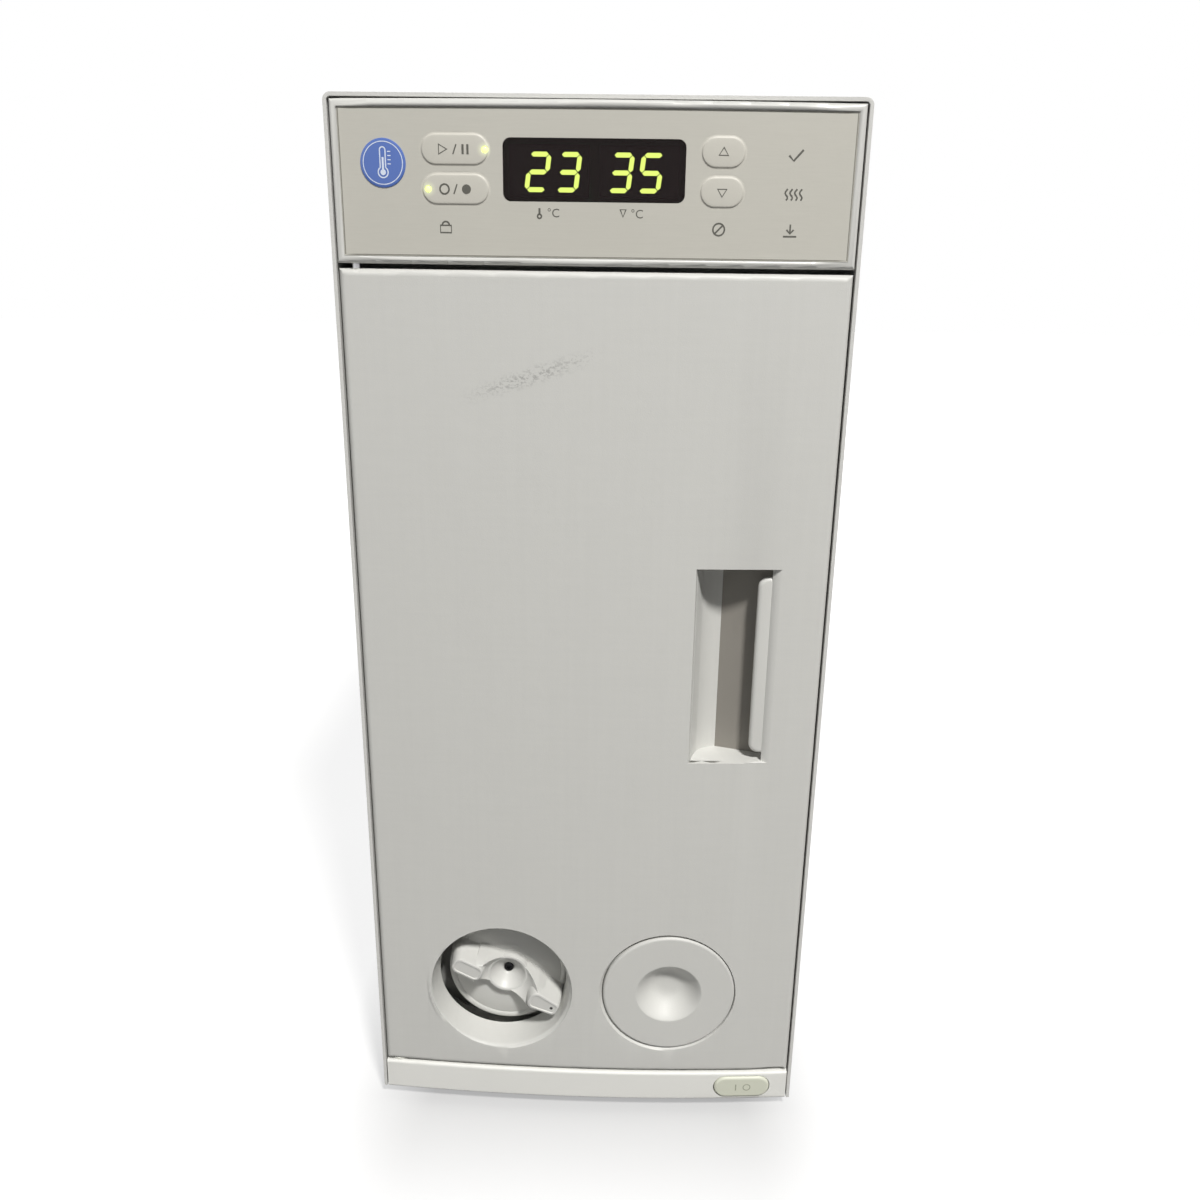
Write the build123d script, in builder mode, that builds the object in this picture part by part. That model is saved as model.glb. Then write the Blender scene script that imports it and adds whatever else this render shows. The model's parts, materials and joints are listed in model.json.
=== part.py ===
from build123d import *

import math
import os

# Column oven for liquid chromatography, in millimetres.
# X runs to the right, the front faces -Y, Z is up, and the origin is on the floor under the middle.

# Casing
cover_width = 225.0
cover_sheet = 1.6
cover_corner = 3.2
overall_depth = 420.0
rear_reach = 12.0  # the drain barb stands this far out behind the rear panel
foot_height = 8.0
foot_radius = 11.0
foot_inset = 15.0  # from the cover's side to the foot's middle
rail_height = 17.8
door_height = 416.5
bezel_height = 64.4
front_bow = 4.5  # how far the front bulges over its width
side_gap = 0.8  # door, rail and panel to the cover
gap_below_door = 1.2
gap_above_door = 2.1
front_round = 3.0
frame_sheet = 2.0
frame_flange = 12.0
pan_sheet = 1.6
pan_lip = 12.0
rear_sheet = 1.6
rear_lip = 12.0
seat_gap = 0.3  # between pieces that meet without touching

# Door
door_depth = 30.0
door_face_wall = 3.0
door_side_wall = 2.5
inner_panel_sheet = 1.5
gasket_thickness = 3.0
gasket_width = 7.0
gasket_corner = 8.0
foam_margin = 13.0
hinge_inset = 7.0  # from the door's left edge to the hinge line
hinge_back = 4.5  # from the door's face to the hinge line
pin_radius = 2.0
pin_clearance = 0.05
bush_wall = 0.95
bush_length = 10.0
bush_flange = 0.9
post_radius = 3.5
post_inset = 7.1  # from the door's side to a screw post's middle
screw_shank = 1.5
screw_head = 3.0
screw_head_height = 1.4

# Handle recess in the door; heights are above the door's lower edge
handle_left = 48.5
handle_right = 88.3
handle_bottom_height = 186.8
handle_height = 99.4
handle_slope_depth = 12.0
handle_slope_width = 4.0
handle_floor_start = 62.9
handle_floor_deep = 19.5
handle_floor_shallow = 11.0
handle_chamfer = 3.8
handle_undercut = 5.5  # behind the chamfer, where the grip is fixed
handle_wall = 2.2
pocket_sheet = 2.0
grip_width = 11.8
grip_thickness = 2.6
grip_recess = 4.2
grip_corner = 5.0
grip_gap_top = 5.0
grip_gap_bottom = 4.0

# Round openings in the door
opening_height = 50.7  # middle of both, above the door's lower edge
knob_x = -43.6
knob_opening_x = -46.2
knob_opening_radius = 36.8
knob_opening_inner = 34.5
knob_opening_depth = 16.0
opening_wall = 2.2
opening_round = 1.6
plug_x = 43.5
plug_radius = 35.0
plug_gap = 0.3
plug_depth = 13.0
plug_wall = 2.2
plug_round = 2.0
dimple_radius = 16.0
dimple_floor = 8.0
dimple_depth = 9.0
plug_ledge = 4.0

# Valve and its knob
knob_radius = 32.5
knob_set_back = 17.5  # from the door's face to the disc's front
knob_disc = 5.0
knob_angle = -27.5
knob_tip = 31.3
tab_length = 17.0
tab_width = 9.0
tab_set_back = 1.5
tab_round = 1.2
web_set_back = 11.0
cup_radius = 10.0
cup_wall = 1.6
cup_rim_set_back = 13.0
cup_floor_set_back = 20.0
hub_radius = 12.0
shaft_radius = 3.2
shaft_clearance = 0.05
knob_screw_radius = 2.0
knob_screw_head = 3.5
valve_radius = 23.0
valve_length = 34.0
clamp_radius = 25.0
clamp_length = 6.0
port_count = 6
port_circle = 13.0
fitting_across = 7.0
fitting_length = 12.0
loop_tube = 0.8

# Oven chamber; its width is what the casing leaves
casing_air = 4.9  # from the insulation to the cover's inside
chamber_height = 305.0
chamber_above_door = 98.0  # chamber floor above the door's lower edge
chamber_depth = 255.0
liner_sheet = 1.0
slab_side = 20.0
slab_top = 12.0
baffle_stand = 34.0
baffle_sheet = 1.0
baffle_side = 9.0  # from the baffle to the chamber's wall
baffle_margin = 15.0
slot_height = 4.0
slot_pitch = 8.0
fan_radius = 52.0
fan_width = 18.0
fan_hub = 10.0
fan_blades = 24
fan_plate = 1.5
fan_shaft = 3.0
heater_ring = 62.0
heater_tube = 3.5
heater_leg = 3.0
motor_radius = 30.0
motor_length = 42.0
motor_boss = 12.0
motor_plate_size = 90.0
motor_plate_sheet = 2.0
clip_bore = 5.0
clip_wall = 2.2
clip_height = 12.0
clip_mouth = 6.8
clip_pad = 2.0
clip_ear = 10.0
clip_spacing = 76.0
clip_rows = 150.0
tray_side = 7.0  # from the tray to the chamber's wall
tray_length = 180.0
tray_height = 10.0
tray_wall = 1.5
pipe_radius = 4.0
pipe_bore = 2.5
pipe_x = -55.0
pipe_set_back = 150.0  # behind the front frame
pipe_drop = 34.0
pipe_bend = 14.0
pipe_collar = 3.5
pipe_collar_sheet = 2.0
probe_radius = 1.5
probe_length = 55.0
cutout_radius = 8.0
grommet_bore = 5.0
grommet_neck = 9.0
grommet_flange = 11.0

# Control panel; heights are down from the bezel's top edge
bezel_wall = 2.2
bezel_rim = 3.0
bezel_recess = 1.2
overlay_sheet = 0.6
bezel_round = 1.6
display_left = -38.2
display_right = 36.9
display_down = 14.6
display_height = 24.3
display_corner = 3.2
window_thickness = 2.4
digit_block_width = 33.0
digit_block_height = 20.0
key_height = 13.0
key_down = 19.2
key_pitch = 15.3
left_key_x = -58.1
left_key_width = 29.0
right_key_x = 52.3
right_key_width = 19.0
key_gap = 0.3
key_lip = 0.8
key_flange = 1.2
key_travel = 1.2
key_round = 0.7
lamp_radius = 1.3
lamp_gap = 0.5
upper_lamp_x = -45.6
lower_lamp_x = -69.6
board_sheet = 1.6
control_board_set_back = 13.0
control_board_margin = 7.0
tact_size = 6.0
tact_height = 3.5
tact_plunger = 1.2

# Power button in the rail
button_x = cover_width / 2 - 27.0
button_width = 30.4
button_height = 13.2
button_gap = 0.4
button_proud = 1.0
button_travel = 3.0
button_lip = 1.6
rail_wall = 1.8

# Rear and lower electrics
inlet_x = 68.0
inlet_z = 44.0
inlet_width = 46.0
inlet_height = 40.0
inlet_flange = 4.0
inlet_depth = 26.0
socket_width = 24.5
socket_height = 17.0
socket_depth = 16.0
drawer_width = 24.0
drawer_height = 8.0
drawer_depth = 20.0
drawer_gap = 0.2
terminal_x = -62.0
terminal_z = 44.0
terminal_width = 44.0
terminal_height = 12.0
terminal_proud = 5.0
terminal_ways = 8
terminal_pitch = 5.0
board_z = 20.0
supply_width = 70.0
supply_depth = 100.0
supply_height = 50.0
supply_side = 12.0  # from the supply to the cover's inside
supply_rear = 51.4  # from the supply to the rear panel
board_length = 162.4
board_rear = 14.0
board_side = 10.0
switch_width = 18.0
switch_length = 24.0
switch_height = 14.0
plunger_width = 8.0
plunger_height = 6.0
blade_width = 3.0
blade_length = 7.0
blade_sheet = 0.8
pan_vent_width = 3.0
pan_vent_length = 50.0
pan_vent_y = 60.0
rear_vent_width = 4.0
rear_vent_height = 40.0
rear_vent_pitch = 10.0

# Places that follow from the sizes above
front_apex = -overall_depth / 2
rear_face = overall_depth / 2 - rear_reach
rear_inner = rear_face - rear_sheet
inner_half = cover_width / 2 - cover_sheet
front_half = inner_half - side_gap
bow_radius = (front_half**2 + front_bow**2) / (2 * front_bow)
door_back = front_apex + door_depth
frame_front = door_back + gasket_thickness + seat_gap
frame_back = frame_front + frame_sheet
rail_bottom = foot_height
rail_top = rail_bottom + rail_height
pan_top = foot_height + pan_sheet
door_bottom = rail_top + gap_below_door
door_top = door_bottom + door_height
bezel_bottom = door_top + gap_above_door
bezel_top = bezel_bottom + bezel_height
cover_inner_top = bezel_top + side_gap
cover_top = cover_inner_top + cover_sheet
opening_z = door_bottom + opening_height


def bow_y(x, depth=0.0):
    """Y of the bowed front face at x, or of the parallel surface that lies deeper"""
    return front_apex + bow_radius - math.sqrt((bow_radius - depth) ** 2 - x**2)


hinge_x = -front_half + hinge_inset
hinge_y = bow_y(front_half) + hinge_back
bush_radius = pin_radius + pin_clearance + bush_wall
handle_x = (handle_left + handle_right) / 2
handle_face = bow_y(handle_x)
handle_bottom = door_bottom + handle_bottom_height
handle_top = handle_bottom + handle_height
handle_inner_right = handle_right - handle_chamfer + handle_undercut
knob_face = bow_y(knob_x)
plug_face = bow_y(plug_x)
disc_front = knob_face + knob_set_back
disc_back = disc_front + knob_disc
chamber_half = inner_half - casing_air - slab_side - liner_sheet
baffle_half = chamber_half - baffle_side
tray_half = chamber_half - tray_side
chamber_bottom = door_bottom + chamber_above_door
chamber_top = chamber_bottom + chamber_height
chamber_middle = (chamber_bottom + chamber_top) / 2
chamber_back = frame_back + chamber_depth
slab_back = chamber_back + liner_sheet + slab_side
slab_bottom = chamber_bottom - liner_sheet - slab_top
slab_upper = chamber_top + liner_sheet + slab_top
baffle_front = chamber_back - baffle_stand
fan_front = baffle_front + baffle_sheet + 4.0
fan_back = fan_front + fan_width
plate_back = slab_back + motor_plate_sheet
board_front = bow_y(0) + control_board_set_back
key_rows = [bezel_top - key_down, bezel_top - key_down - key_pitch]
display_top = bezel_top - display_down
display_bottom = display_top - display_height
button_z = pan_top + seat_gap + button_gap + button_height / 2


def slab(x0, x1, y0, y1, z0, z1, mode=Mode.ADD):
    """A plain block between two opposite corners"""
    with Locations(((x0 + x1) / 2, (y0 + y1) / 2, (z0 + z1) / 2)):
        Box(x1 - x0, y1 - y0, z1 - z0, mode=mode)


def rod_x(y, z, radius, x0, x1, mode=Mode.ADD):
    """A round bar or bore along X"""
    with BuildSketch(Plane.YZ.offset(x0)) as disc:
        with Locations((y, z)):
            Circle(radius)
    extrude(disc.sketch, amount=x1 - x0, mode=mode)


def cone_x(y, z, x0, x1, mode=Mode.ADD):
    """A countersink along X, from the screw's shank at x0 to its head at x1"""
    with BuildSketch(Plane.XY.offset(z)) as half:
        with BuildLine():
            Polyline((x0, y), (x0, y + screw_shank), (x1, y + screw_head), (x1, y), close=True)
        make_face()
    revolve(half.sketch, axis=Axis((0, y, z), (1, 0, 0)), mode=mode)


def rod_y(x, z, radius, y0, y1, mode=Mode.ADD):
    """A round bar or bore along Y"""
    with BuildSketch(Plane.XZ.offset(-y0)) as disc:
        with Locations((x, z)):
            Circle(radius)
    extrude(disc.sketch, amount=y0 - y1, mode=mode)


def rod_z(x, y, radius, z0, z1, mode=Mode.ADD):
    """A round bar or bore along Z"""
    with BuildSketch(Plane.XY.offset(z0)) as disc:
        with Locations((x, y)):
            Circle(radius)
    extrude(disc.sketch, amount=z1 - z0, mode=mode)


def pill_y(x, z, width, height, y0, y1, mode=Mode.ADD):
    """A bar or hole along Y with rounded ends"""
    with BuildSketch(Plane.XZ.offset(-y0)) as outline:
        with Locations((x, z)):
            SlotOverall(width, height)
    extrude(outline.sketch, amount=y0 - y1, mode=mode)


def turned(x, z, points, rounds=(), mode=Mode.ADD):
    """A turned shape about a line along Y; points are (radius, y), rounds are (radius, y, corner radius)"""
    with BuildSketch(Plane.XY.offset(z)) as half:
        with BuildLine():
            Polyline([(x + radius, y) for radius, y in points], close=True)
        make_face()
        for radius, y, corner in rounds:
            fillet(half.vertices().sort_by_distance((x + radius, y, 0))[0], corner)
    revolve(half.sketch, axis=Axis((x, 0, z), (0, 1, 0)), mode=mode)


def plan_block(points, z0, z1, mode=Mode.ADD):
    """An upright block with the plan that the points give"""
    with BuildSketch(Plane.XY.offset(z0)) as plan:
        with BuildLine():
            Polyline(points, close=True)
        make_face()
    extrude(plan.sketch, amount=z1 - z0, mode=mode)


def bowed_slab(x0, x1, z0, z1, depth, back_depth=None, flat_back=None, mode=Mode.ADD):
    """A block whose front follows the bow; its back follows it too, or is flat"""
    middle = (x0 + x1) / 2
    front = [(x, bow_y(x, depth)) for x in (x0, middle, x1)]
    with BuildSketch(Plane.XY.offset(z0)) as plan:
        with BuildLine():
            ThreePointArc(*front)
            if flat_back is None:
                back = [(x, bow_y(x, back_depth)) for x in (x1, middle, x0)]
                Line(front[2], back[0])
                ThreePointArc(*back)
                Line(back[2], front[0])
            else:
                Polyline(front[2], (x1, flat_back), (x0, flat_back), front[0])
        make_face()
    extrude(plan.sketch, amount=z1 - z0, mode=mode)


# Outer cover: a top with rolled edges, welded along its seams to two sides, held by countersunk screws
cover_front = bow_y(front_half) + 0.6
cover_screw_end = 46.0
cover_screw_front = 54.0
cover_screw_rear = 150.0
cover_screw_rows = (rail_bottom + cover_screw_end, cover_top / 2, cover_top - cover_screw_end)
cover_screw_places = [(rear_inner - rear_lip / 2, z) for z in cover_screw_rows]
cover_screw_places += [
    (y, pan_top + pan_lip / 2) for y in (frame_back + cover_screw_front, rear_inner - cover_screw_rear)
]
with BuildPart() as outer_cover:
    slab(-cover_width / 2, cover_width / 2, cover_front, rear_face, rail_bottom, cover_top)
    fillet(outer_cover.edges().filter_by(Axis.Y).group_by(Axis.Z)[-1], cover_corner)
    with BuildSketch(Plane.XZ.offset(-cover_front)) as hollow:
        with BuildLine():
            Polyline(
                (-inner_half, rail_bottom),
                (inner_half, rail_bottom),
                (inner_half, cover_inner_top),
                (-inner_half, cover_inner_top),
                close=True,
            )
        make_face()
        fillet(hollow.vertices().group_by(Axis.Y)[-1], cover_corner - cover_sheet)
    extrude(hollow.sketch, amount=cover_front - rear_face, mode=Mode.SUBTRACT)
    grommet_y = frame_back + 36.0
    grommet_z = opening_z - 16.0
    for side in (-1, 1):
        rod_x(
            grommet_y,
            grommet_z,
            grommet_neck,
            side * inner_half,
            side * cover_width / 2,
            mode=Mode.SUBTRACT,
        )
    for side in (-1, 1):
        for y, z in cover_screw_places:
            cone_x(y, z, side * inner_half, side * cover_width / 2, mode=Mode.SUBTRACT)
    split(bisect_by=Plane.XY.offset(cover_top - cover_corner), keep=Keep.BOTH)

with BuildPart() as cover_screws:
    for side in (-1, 1):
        for y, z in cover_screw_places:
            cone_x(y, z, side * inner_half, side * cover_width / 2)
            rod_x(y, z, screw_shank, side * (inner_half - 4.0), side * inner_half)

# Base pan with its side lips, and a tongue that reaches forward under the rail
foot_x = cover_width / 2 - foot_inset
foot_front_y = frame_back + 5.0
foot_rear_y = rear_inner - foot_inset
foot_places = [(x, y) for x in (-foot_x, foot_x) for y in (foot_front_y, foot_rear_y)]
foot_screw_radius = 2.0
foot_screw_head = 3.8
tongue_front = bow_y(front_half) + rail_wall + 1.0
tongue_half = front_half - rail_wall
with BuildPart() as base_pan:
    slab(-inner_half, inner_half, frame_front, rear_inner, rail_bottom, pan_top)
    slab(-tongue_half, tongue_half, tongue_front, frame_front, rail_bottom, pan_top)
    for x0 in (-inner_half, inner_half - pan_sheet):
        slab(x0, x0 + pan_sheet, frame_back + frame_flange, rear_inner - rear_lip, pan_top, pan_top + pan_lip)
    for side in (-1, 1):
        for y, z in cover_screw_places[3:]:
            rod_x(y, z, screw_shank, side * (inner_half - pan_sheet), side * inner_half, mode=Mode.SUBTRACT)
    for x, y in foot_places:
        rod_z(x, y, foot_screw_radius, rail_bottom, pan_top, mode=Mode.SUBTRACT)
    for column in range(1, 10):
        vent_x = -3 * column * pan_vent_width
        slab(
            vent_x - pan_vent_width / 2,
            vent_x + pan_vent_width / 2,
            pan_vent_y,
            pan_vent_y + pan_vent_length,
            rail_bottom,
            pan_top,
            mode=Mode.SUBTRACT,
        )

with BuildPart() as feet:
    for x, y in foot_places:
        with BuildSketch() as sole:
            with Locations((x, y)):
                Circle(foot_radius - 1.0)
        extrude(sole.sketch, amount=foot_height, taper=-math.degrees(math.atan(1.0 / foot_height)))
        rod_z(x, y, foot_screw_head + 0.4, 0, foot_height / 2, mode=Mode.SUBTRACT)
        rod_z(x, y, foot_screw_radius, 0, foot_height, mode=Mode.SUBTRACT)

with BuildPart() as foot_screws:
    for x, y in foot_places:
        rod_z(x, y, foot_screw_head, foot_height / 2 - 2.2, foot_height / 2)
        rod_z(x, y, foot_screw_radius, foot_height / 2, pan_top + 3.0)

# Front frame: four welded steel strips behind the door, round the chamber's opening
button_hole = 9.0
wiring_half = 70.0
magnet_width = 12.0
magnet_height = 36.0
magnet_depth = 9.0
magnet_x = inner_half - 9.4
magnet_rows = [chamber_bottom + 22.0, chamber_top - 26.0 - magnet_height]
strike_thickness = 1.2
magnet_front = door_back + strike_thickness + seat_gap
with BuildPart() as front_frame:
    slab(-inner_half, inner_half, frame_front, frame_back, pan_top, cover_inner_top)
    for x0 in (-inner_half, inner_half - frame_sheet):
        slab(x0, x0 + frame_sheet, frame_back, frame_back + frame_flange, pan_top, cover_inner_top)
    fillet(front_frame.edges().filter_by(Axis.Y).group_by(Axis.Z)[-1].sort_by(Axis.X)[0], cover_corner)
    fillet(front_frame.edges().filter_by(Axis.Y).group_by(Axis.Z)[-1].sort_by(Axis.X)[-1], cover_corner)
    slab(
        -chamber_half,
        chamber_half,
        frame_front,
        frame_back,
        chamber_bottom,
        chamber_top,
        mode=Mode.SUBTRACT,
    )
    slab(
        -wiring_half,
        wiring_half,
        frame_front,
        frame_back,
        bezel_bottom + 12.0,
        bezel_top - 12.0,
        mode=Mode.SUBTRACT,
    )
    rod_y(knob_x, opening_z, hub_radius + 1.0, frame_front, frame_back, mode=Mode.SUBTRACT)
    slab(
        button_x - button_hole,
        button_x + button_hole,
        frame_front,
        frame_back,
        pan_top + 1.0,
        pan_top + 12.0,
        mode=Mode.SUBTRACT,
    )
    for z in magnet_rows:
        slab(
            magnet_x - magnet_width / 2,
            magnet_x + magnet_width / 2,
            frame_front,
            frame_back,
            z,
            z + magnet_height,
            mode=Mode.SUBTRACT,
        )
    for z in (chamber_bottom, chamber_top):
        split(bisect_by=Plane.XY.offset(z), keep=Keep.BOTH)

with BuildPart() as catch_magnets:
    for z in magnet_rows:
        slab(
            magnet_x - magnet_width / 2,
            magnet_x + magnet_width / 2,
            magnet_front,
            magnet_front + magnet_depth,
            z,
            z + magnet_height,
        )

# Bottom rail: a bowed moulding, open at its underside and rear
hinge_block = 5.0
with BuildPart() as bottom_rail:
    bowed_slab(-front_half, front_half, rail_bottom, rail_top, 0, flat_back=frame_front)
    fillet(bottom_rail.edges().group_by(Axis.Y)[0], front_round / 2)
    bowed_slab(
        -front_half + rail_wall,
        front_half - rail_wall,
        rail_bottom,
        rail_top - rail_wall,
        rail_wall,
        flat_back=frame_front,
        mode=Mode.SUBTRACT,
    )
    bowed_slab(
        -front_half + rail_wall / 2,
        hinge_x + hinge_block,
        pan_top + seat_gap,
        rail_top - rail_wall / 2,
        rail_wall / 2,
        flat_back=hinge_y + hinge_block,
    )
    rod_z(hinge_x, hinge_y, pin_radius, pan_top + 2.0, rail_top, mode=Mode.SUBTRACT)
    pill_y(
        button_x,
        button_z,
        button_width + 2 * button_gap,
        button_height + 2 * button_gap,
        front_apex - 1.0,
        front_apex + front_bow + rail_wall + 2.0,
        mode=Mode.SUBTRACT,
    )

with BuildPart() as hinge_pins:
    rod_z(hinge_x, hinge_y, pin_radius, pan_top + 2.0, door_bottom + bush_length - 0.5)
    rod_z(hinge_x, hinge_y, pin_radius, door_top - bush_length + 0.5, bezel_bottom + 9.0)

# Power button and the switch behind it
button_lip_front = front_apex + front_bow + rail_wall + 0.5
button_back = button_lip_front + 6.0
with BuildPart() as power_button:
    pill_y(button_x, button_z, button_width, button_height, front_apex - button_proud, button_back)
    bowed_slab(
        -front_half,
        front_half,
        rail_bottom,
        rail_top,
        -button_proud,
        flat_back=button_back,
        mode=Mode.INTERSECT,
    )
    fillet(power_button.edges().group_by(Axis.Y)[0], front_round / 2)
    slab(
        button_x - button_width / 2 - button_lip,
        button_x + button_width / 2 + button_lip,
        button_lip_front,
        button_back,
        button_z - button_height / 4,
        button_z + button_height / 4,
    )

switch_back = frame_back + switch_length
with BuildPart() as power_switch:
    slab(
        button_x - switch_width / 2,
        button_x + switch_width / 2,
        frame_back,
        switch_back,
        pan_top,
        pan_top + switch_height,
    )
    slab(
        button_x - plunger_width / 2,
        button_x + plunger_width / 2,
        button_back + button_travel + seat_gap,
        frame_back,
        button_z - plunger_height / 2,
        button_z + plunger_height / 2,
    )
    for x in (button_x - 2 * blade_width, button_x, button_x + 2 * blade_width):
        slab(
            x - blade_width / 2,
            x + blade_width / 2,
            switch_back,
            switch_back + blade_length,
            button_z - blade_sheet / 2,
            button_z + blade_sheet / 2,
        )

# Rear panel with its vents
pipe_z = slab_bottom - pipe_drop + slab_top
with BuildPart() as rear_panel:
    slab(-inner_half, inner_half, rear_inner, rear_face, pan_top - pan_sheet, cover_inner_top)
    for x0 in (-inner_half, inner_half - rear_sheet):
        slab(x0, x0 + rear_sheet, rear_inner - rear_lip, rear_inner, pan_top, cover_inner_top)
    fillet(rear_panel.edges().filter_by(Axis.Y).group_by(Axis.Z)[-1].sort_by(Axis.X)[0], cover_corner)
    fillet(rear_panel.edges().filter_by(Axis.Y).group_by(Axis.Z)[-1].sort_by(Axis.X)[-1], cover_corner)
    for row_z in (chamber_middle - 2 * rear_vent_height, bezel_top - rear_vent_height - 34.0):
        for column in range(-7, 8):
            vent_x = column * rear_vent_pitch
            slab(
                vent_x - rear_vent_width / 2,
                vent_x + rear_vent_width / 2,
                rear_inner,
                rear_face,
                row_z,
                row_z + rear_vent_height,
                mode=Mode.SUBTRACT,
            )
    slab(
        inlet_x - inlet_width / 2 + 2.0,
        inlet_x + inlet_width / 2 - 2.0,
        rear_inner,
        rear_face,
        inlet_z - inlet_height / 2 + 2.0,
        inlet_z + inlet_height / 2 - 2.0,
        mode=Mode.SUBTRACT,
    )
    slab(
        terminal_x - terminal_width / 2,
        terminal_x + terminal_width / 2,
        rear_inner,
        rear_face,
        terminal_z - terminal_height / 2,
        terminal_z + terminal_height / 2,
        mode=Mode.SUBTRACT,
    )
    rod_y(pipe_x, pipe_z, pipe_radius, rear_inner, rear_face, mode=Mode.SUBTRACT)
    for side in (-1, 1):
        for y, z in cover_screw_places[:3]:
            rod_x(y, z, screw_shank, side * (inner_half - rear_sheet), side * inner_half, mode=Mode.SUBTRACT)

with BuildPart() as side_grommets:
    for side in (-1, 1):
        rod_x(grommet_y, grommet_z, grommet_neck, side * inner_half, side * cover_width / 2)
        rod_x(grommet_y, grommet_z, grommet_flange, side * (inner_half - 2.0), side * inner_half)
        rod_x(
            grommet_y,
            grommet_z,
            grommet_bore,
            side * (inner_half - 2.0),
            side * cover_width / 2,
            mode=Mode.SUBTRACT,
        )

# Door shell: the bowed face with its recess, its round openings and the hinge blocks
handle_floor_slope = (handle_floor_deep - handle_floor_shallow) / (handle_inner_right - handle_floor_start)


def floor_y(x):
    """Y of the recess floor, which rises towards the grip"""
    return handle_face + handle_floor_deep - (x - handle_floor_start) * handle_floor_slope


housing_back = handle_face + handle_floor_deep + pocket_sheet + 1.5
housing_left = handle_left - handle_wall
housing_right = handle_inner_right + handle_wall
socket_radius = plug_radius + plug_gap
socket_back = plug_face + plug_depth + seat_gap
tube_back = knob_face + knob_opening_depth
post_x = front_half - post_inset
post_rows = [door_bottom + 34.0, (door_bottom + door_top) / 2, door_top - 34.0]
post_back = door_back - inner_panel_sheet
with BuildPart() as door_shell:
    bowed_slab(-front_half, front_half, door_bottom, door_top, 0, flat_back=door_back)
    fillet(door_shell.faces().sort_by(Axis.Y)[0].edges(), front_round)
    bowed_slab(
        -front_half + door_side_wall,
        front_half - door_side_wall,
        door_bottom + door_side_wall,
        door_top - door_side_wall,
        door_face_wall,
        flat_back=door_back,
        mode=Mode.SUBTRACT,
    )
    # hinge blocks
    for z0, z1 in (
        (door_bottom + door_side_wall / 2, door_bottom + bush_length + 2.0),
        (door_top - bush_length - 2.0, door_top - door_side_wall / 2),
    ):
        bowed_slab(
            -front_half + door_side_wall / 2,
            hinge_x + hinge_block,
            z0,
            z1,
            door_face_wall / 2,
            flat_back=hinge_y + hinge_block,
        )
    rod_z(hinge_x, hinge_y, bush_radius, door_bottom, door_bottom + bush_length, mode=Mode.SUBTRACT)
    rod_z(hinge_x, hinge_y, bush_radius, door_top - bush_length, door_top, mode=Mode.SUBTRACT)
    # screw posts
    for x in (-post_x, post_x):
        for z in post_rows:
            rod_y(x, z, post_radius, bow_y(x, door_face_wall / 2), post_back)
            rod_y(x, z, screw_shank, post_back - 12.0, post_back, mode=Mode.SUBTRACT)
    # handle recess
    slab(
        housing_left,
        housing_right,
        bow_y(housing_right, door_face_wall / 2),
        housing_back,
        handle_bottom - handle_wall,
        handle_top + handle_wall,
    )
    with BuildSketch(Plane.XY.offset(handle_bottom)) as recess:
        with BuildLine():
            Polyline(
                (handle_floor_start, floor_y(handle_floor_start)),
                (handle_inner_right, floor_y(handle_inner_right)),
                (handle_inner_right, handle_face + grip_recess),
                (handle_right - handle_chamfer, handle_face + grip_recess),
                (handle_right, bow_y(handle_right)),
                (handle_right, front_apex - 1.0),
                (handle_left, front_apex - 1.0),
                (handle_left, bow_y(handle_left)),
                (handle_left + handle_slope_width, handle_face + handle_slope_depth),
            )
            RadiusArc(
                (handle_left + handle_slope_width, handle_face + handle_slope_depth),
                (handle_floor_start, floor_y(handle_floor_start)),
                14.0,
            )
        make_face()
    extrude(recess.sketch, amount=handle_height, mode=Mode.SUBTRACT)
    plan_block(
        [
            (handle_floor_start, floor_y(handle_floor_start)),
            (housing_right, floor_y(housing_right)),
            (housing_right, housing_back),
            (handle_floor_start, housing_back),
        ],
        handle_bottom - handle_wall,
        handle_top + handle_wall,
        mode=Mode.SUBTRACT,
    )
    # flared opening round the valve knob
    turned(
        knob_opening_x,
        opening_z,
        [
            (knob_opening_radius + opening_wall, knob_face + door_face_wall / 2),
            (knob_opening_inner + opening_wall, tube_back),
            (knob_opening_inner - 4.0, tube_back),
            (knob_opening_inner - 4.0, knob_face + door_face_wall / 2),
        ],
    )
    turned(
        knob_opening_x,
        opening_z,
        [
            (0, front_apex - 1.0),
            (knob_opening_radius + opening_round, front_apex - 1.0),
            (knob_opening_radius + opening_round, knob_face),
            (knob_opening_radius, knob_face + opening_round),
            (knob_opening_inner, tube_back),
            (0, tube_back),
        ],
        rounds=[(knob_opening_radius, knob_face + opening_round, 2 * opening_round)],
        mode=Mode.SUBTRACT,
    )
    # socket of the round plug
    turned(
        plug_x,
        opening_z,
        [
            (0, plug_face + door_face_wall / 2),
            (socket_radius + opening_wall, plug_face + door_face_wall / 2),
            (socket_radius + opening_wall, socket_back + opening_wall),
            (0, socket_back + opening_wall),
        ],
    )
    turned(
        plug_x,
        opening_z,
        [
            (0, front_apex - 1.0),
            (socket_radius + opening_round, front_apex - 1.0),
            (socket_radius + opening_round, plug_face),
            (socket_radius, plug_face + opening_round),
            (socket_radius, socket_back),
            (socket_radius - plug_ledge, socket_back),
            (socket_radius - plug_ledge, socket_back + opening_wall),
            (0, socket_back + opening_wall),
        ],
        rounds=[(socket_radius, plug_face + opening_round, 1.5 * opening_round)],
        mode=Mode.SUBTRACT,
    )

with BuildPart() as handle_pocket:
    plan_block(
        [
            (handle_floor_start, floor_y(handle_floor_start)),
            (housing_right, floor_y(housing_right)),
            (housing_right, floor_y(housing_right) + pocket_sheet),
            (handle_floor_start, floor_y(handle_floor_start) + pocket_sheet),
        ],
        handle_bottom - handle_wall,
        handle_top + handle_wall,
    )

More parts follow.
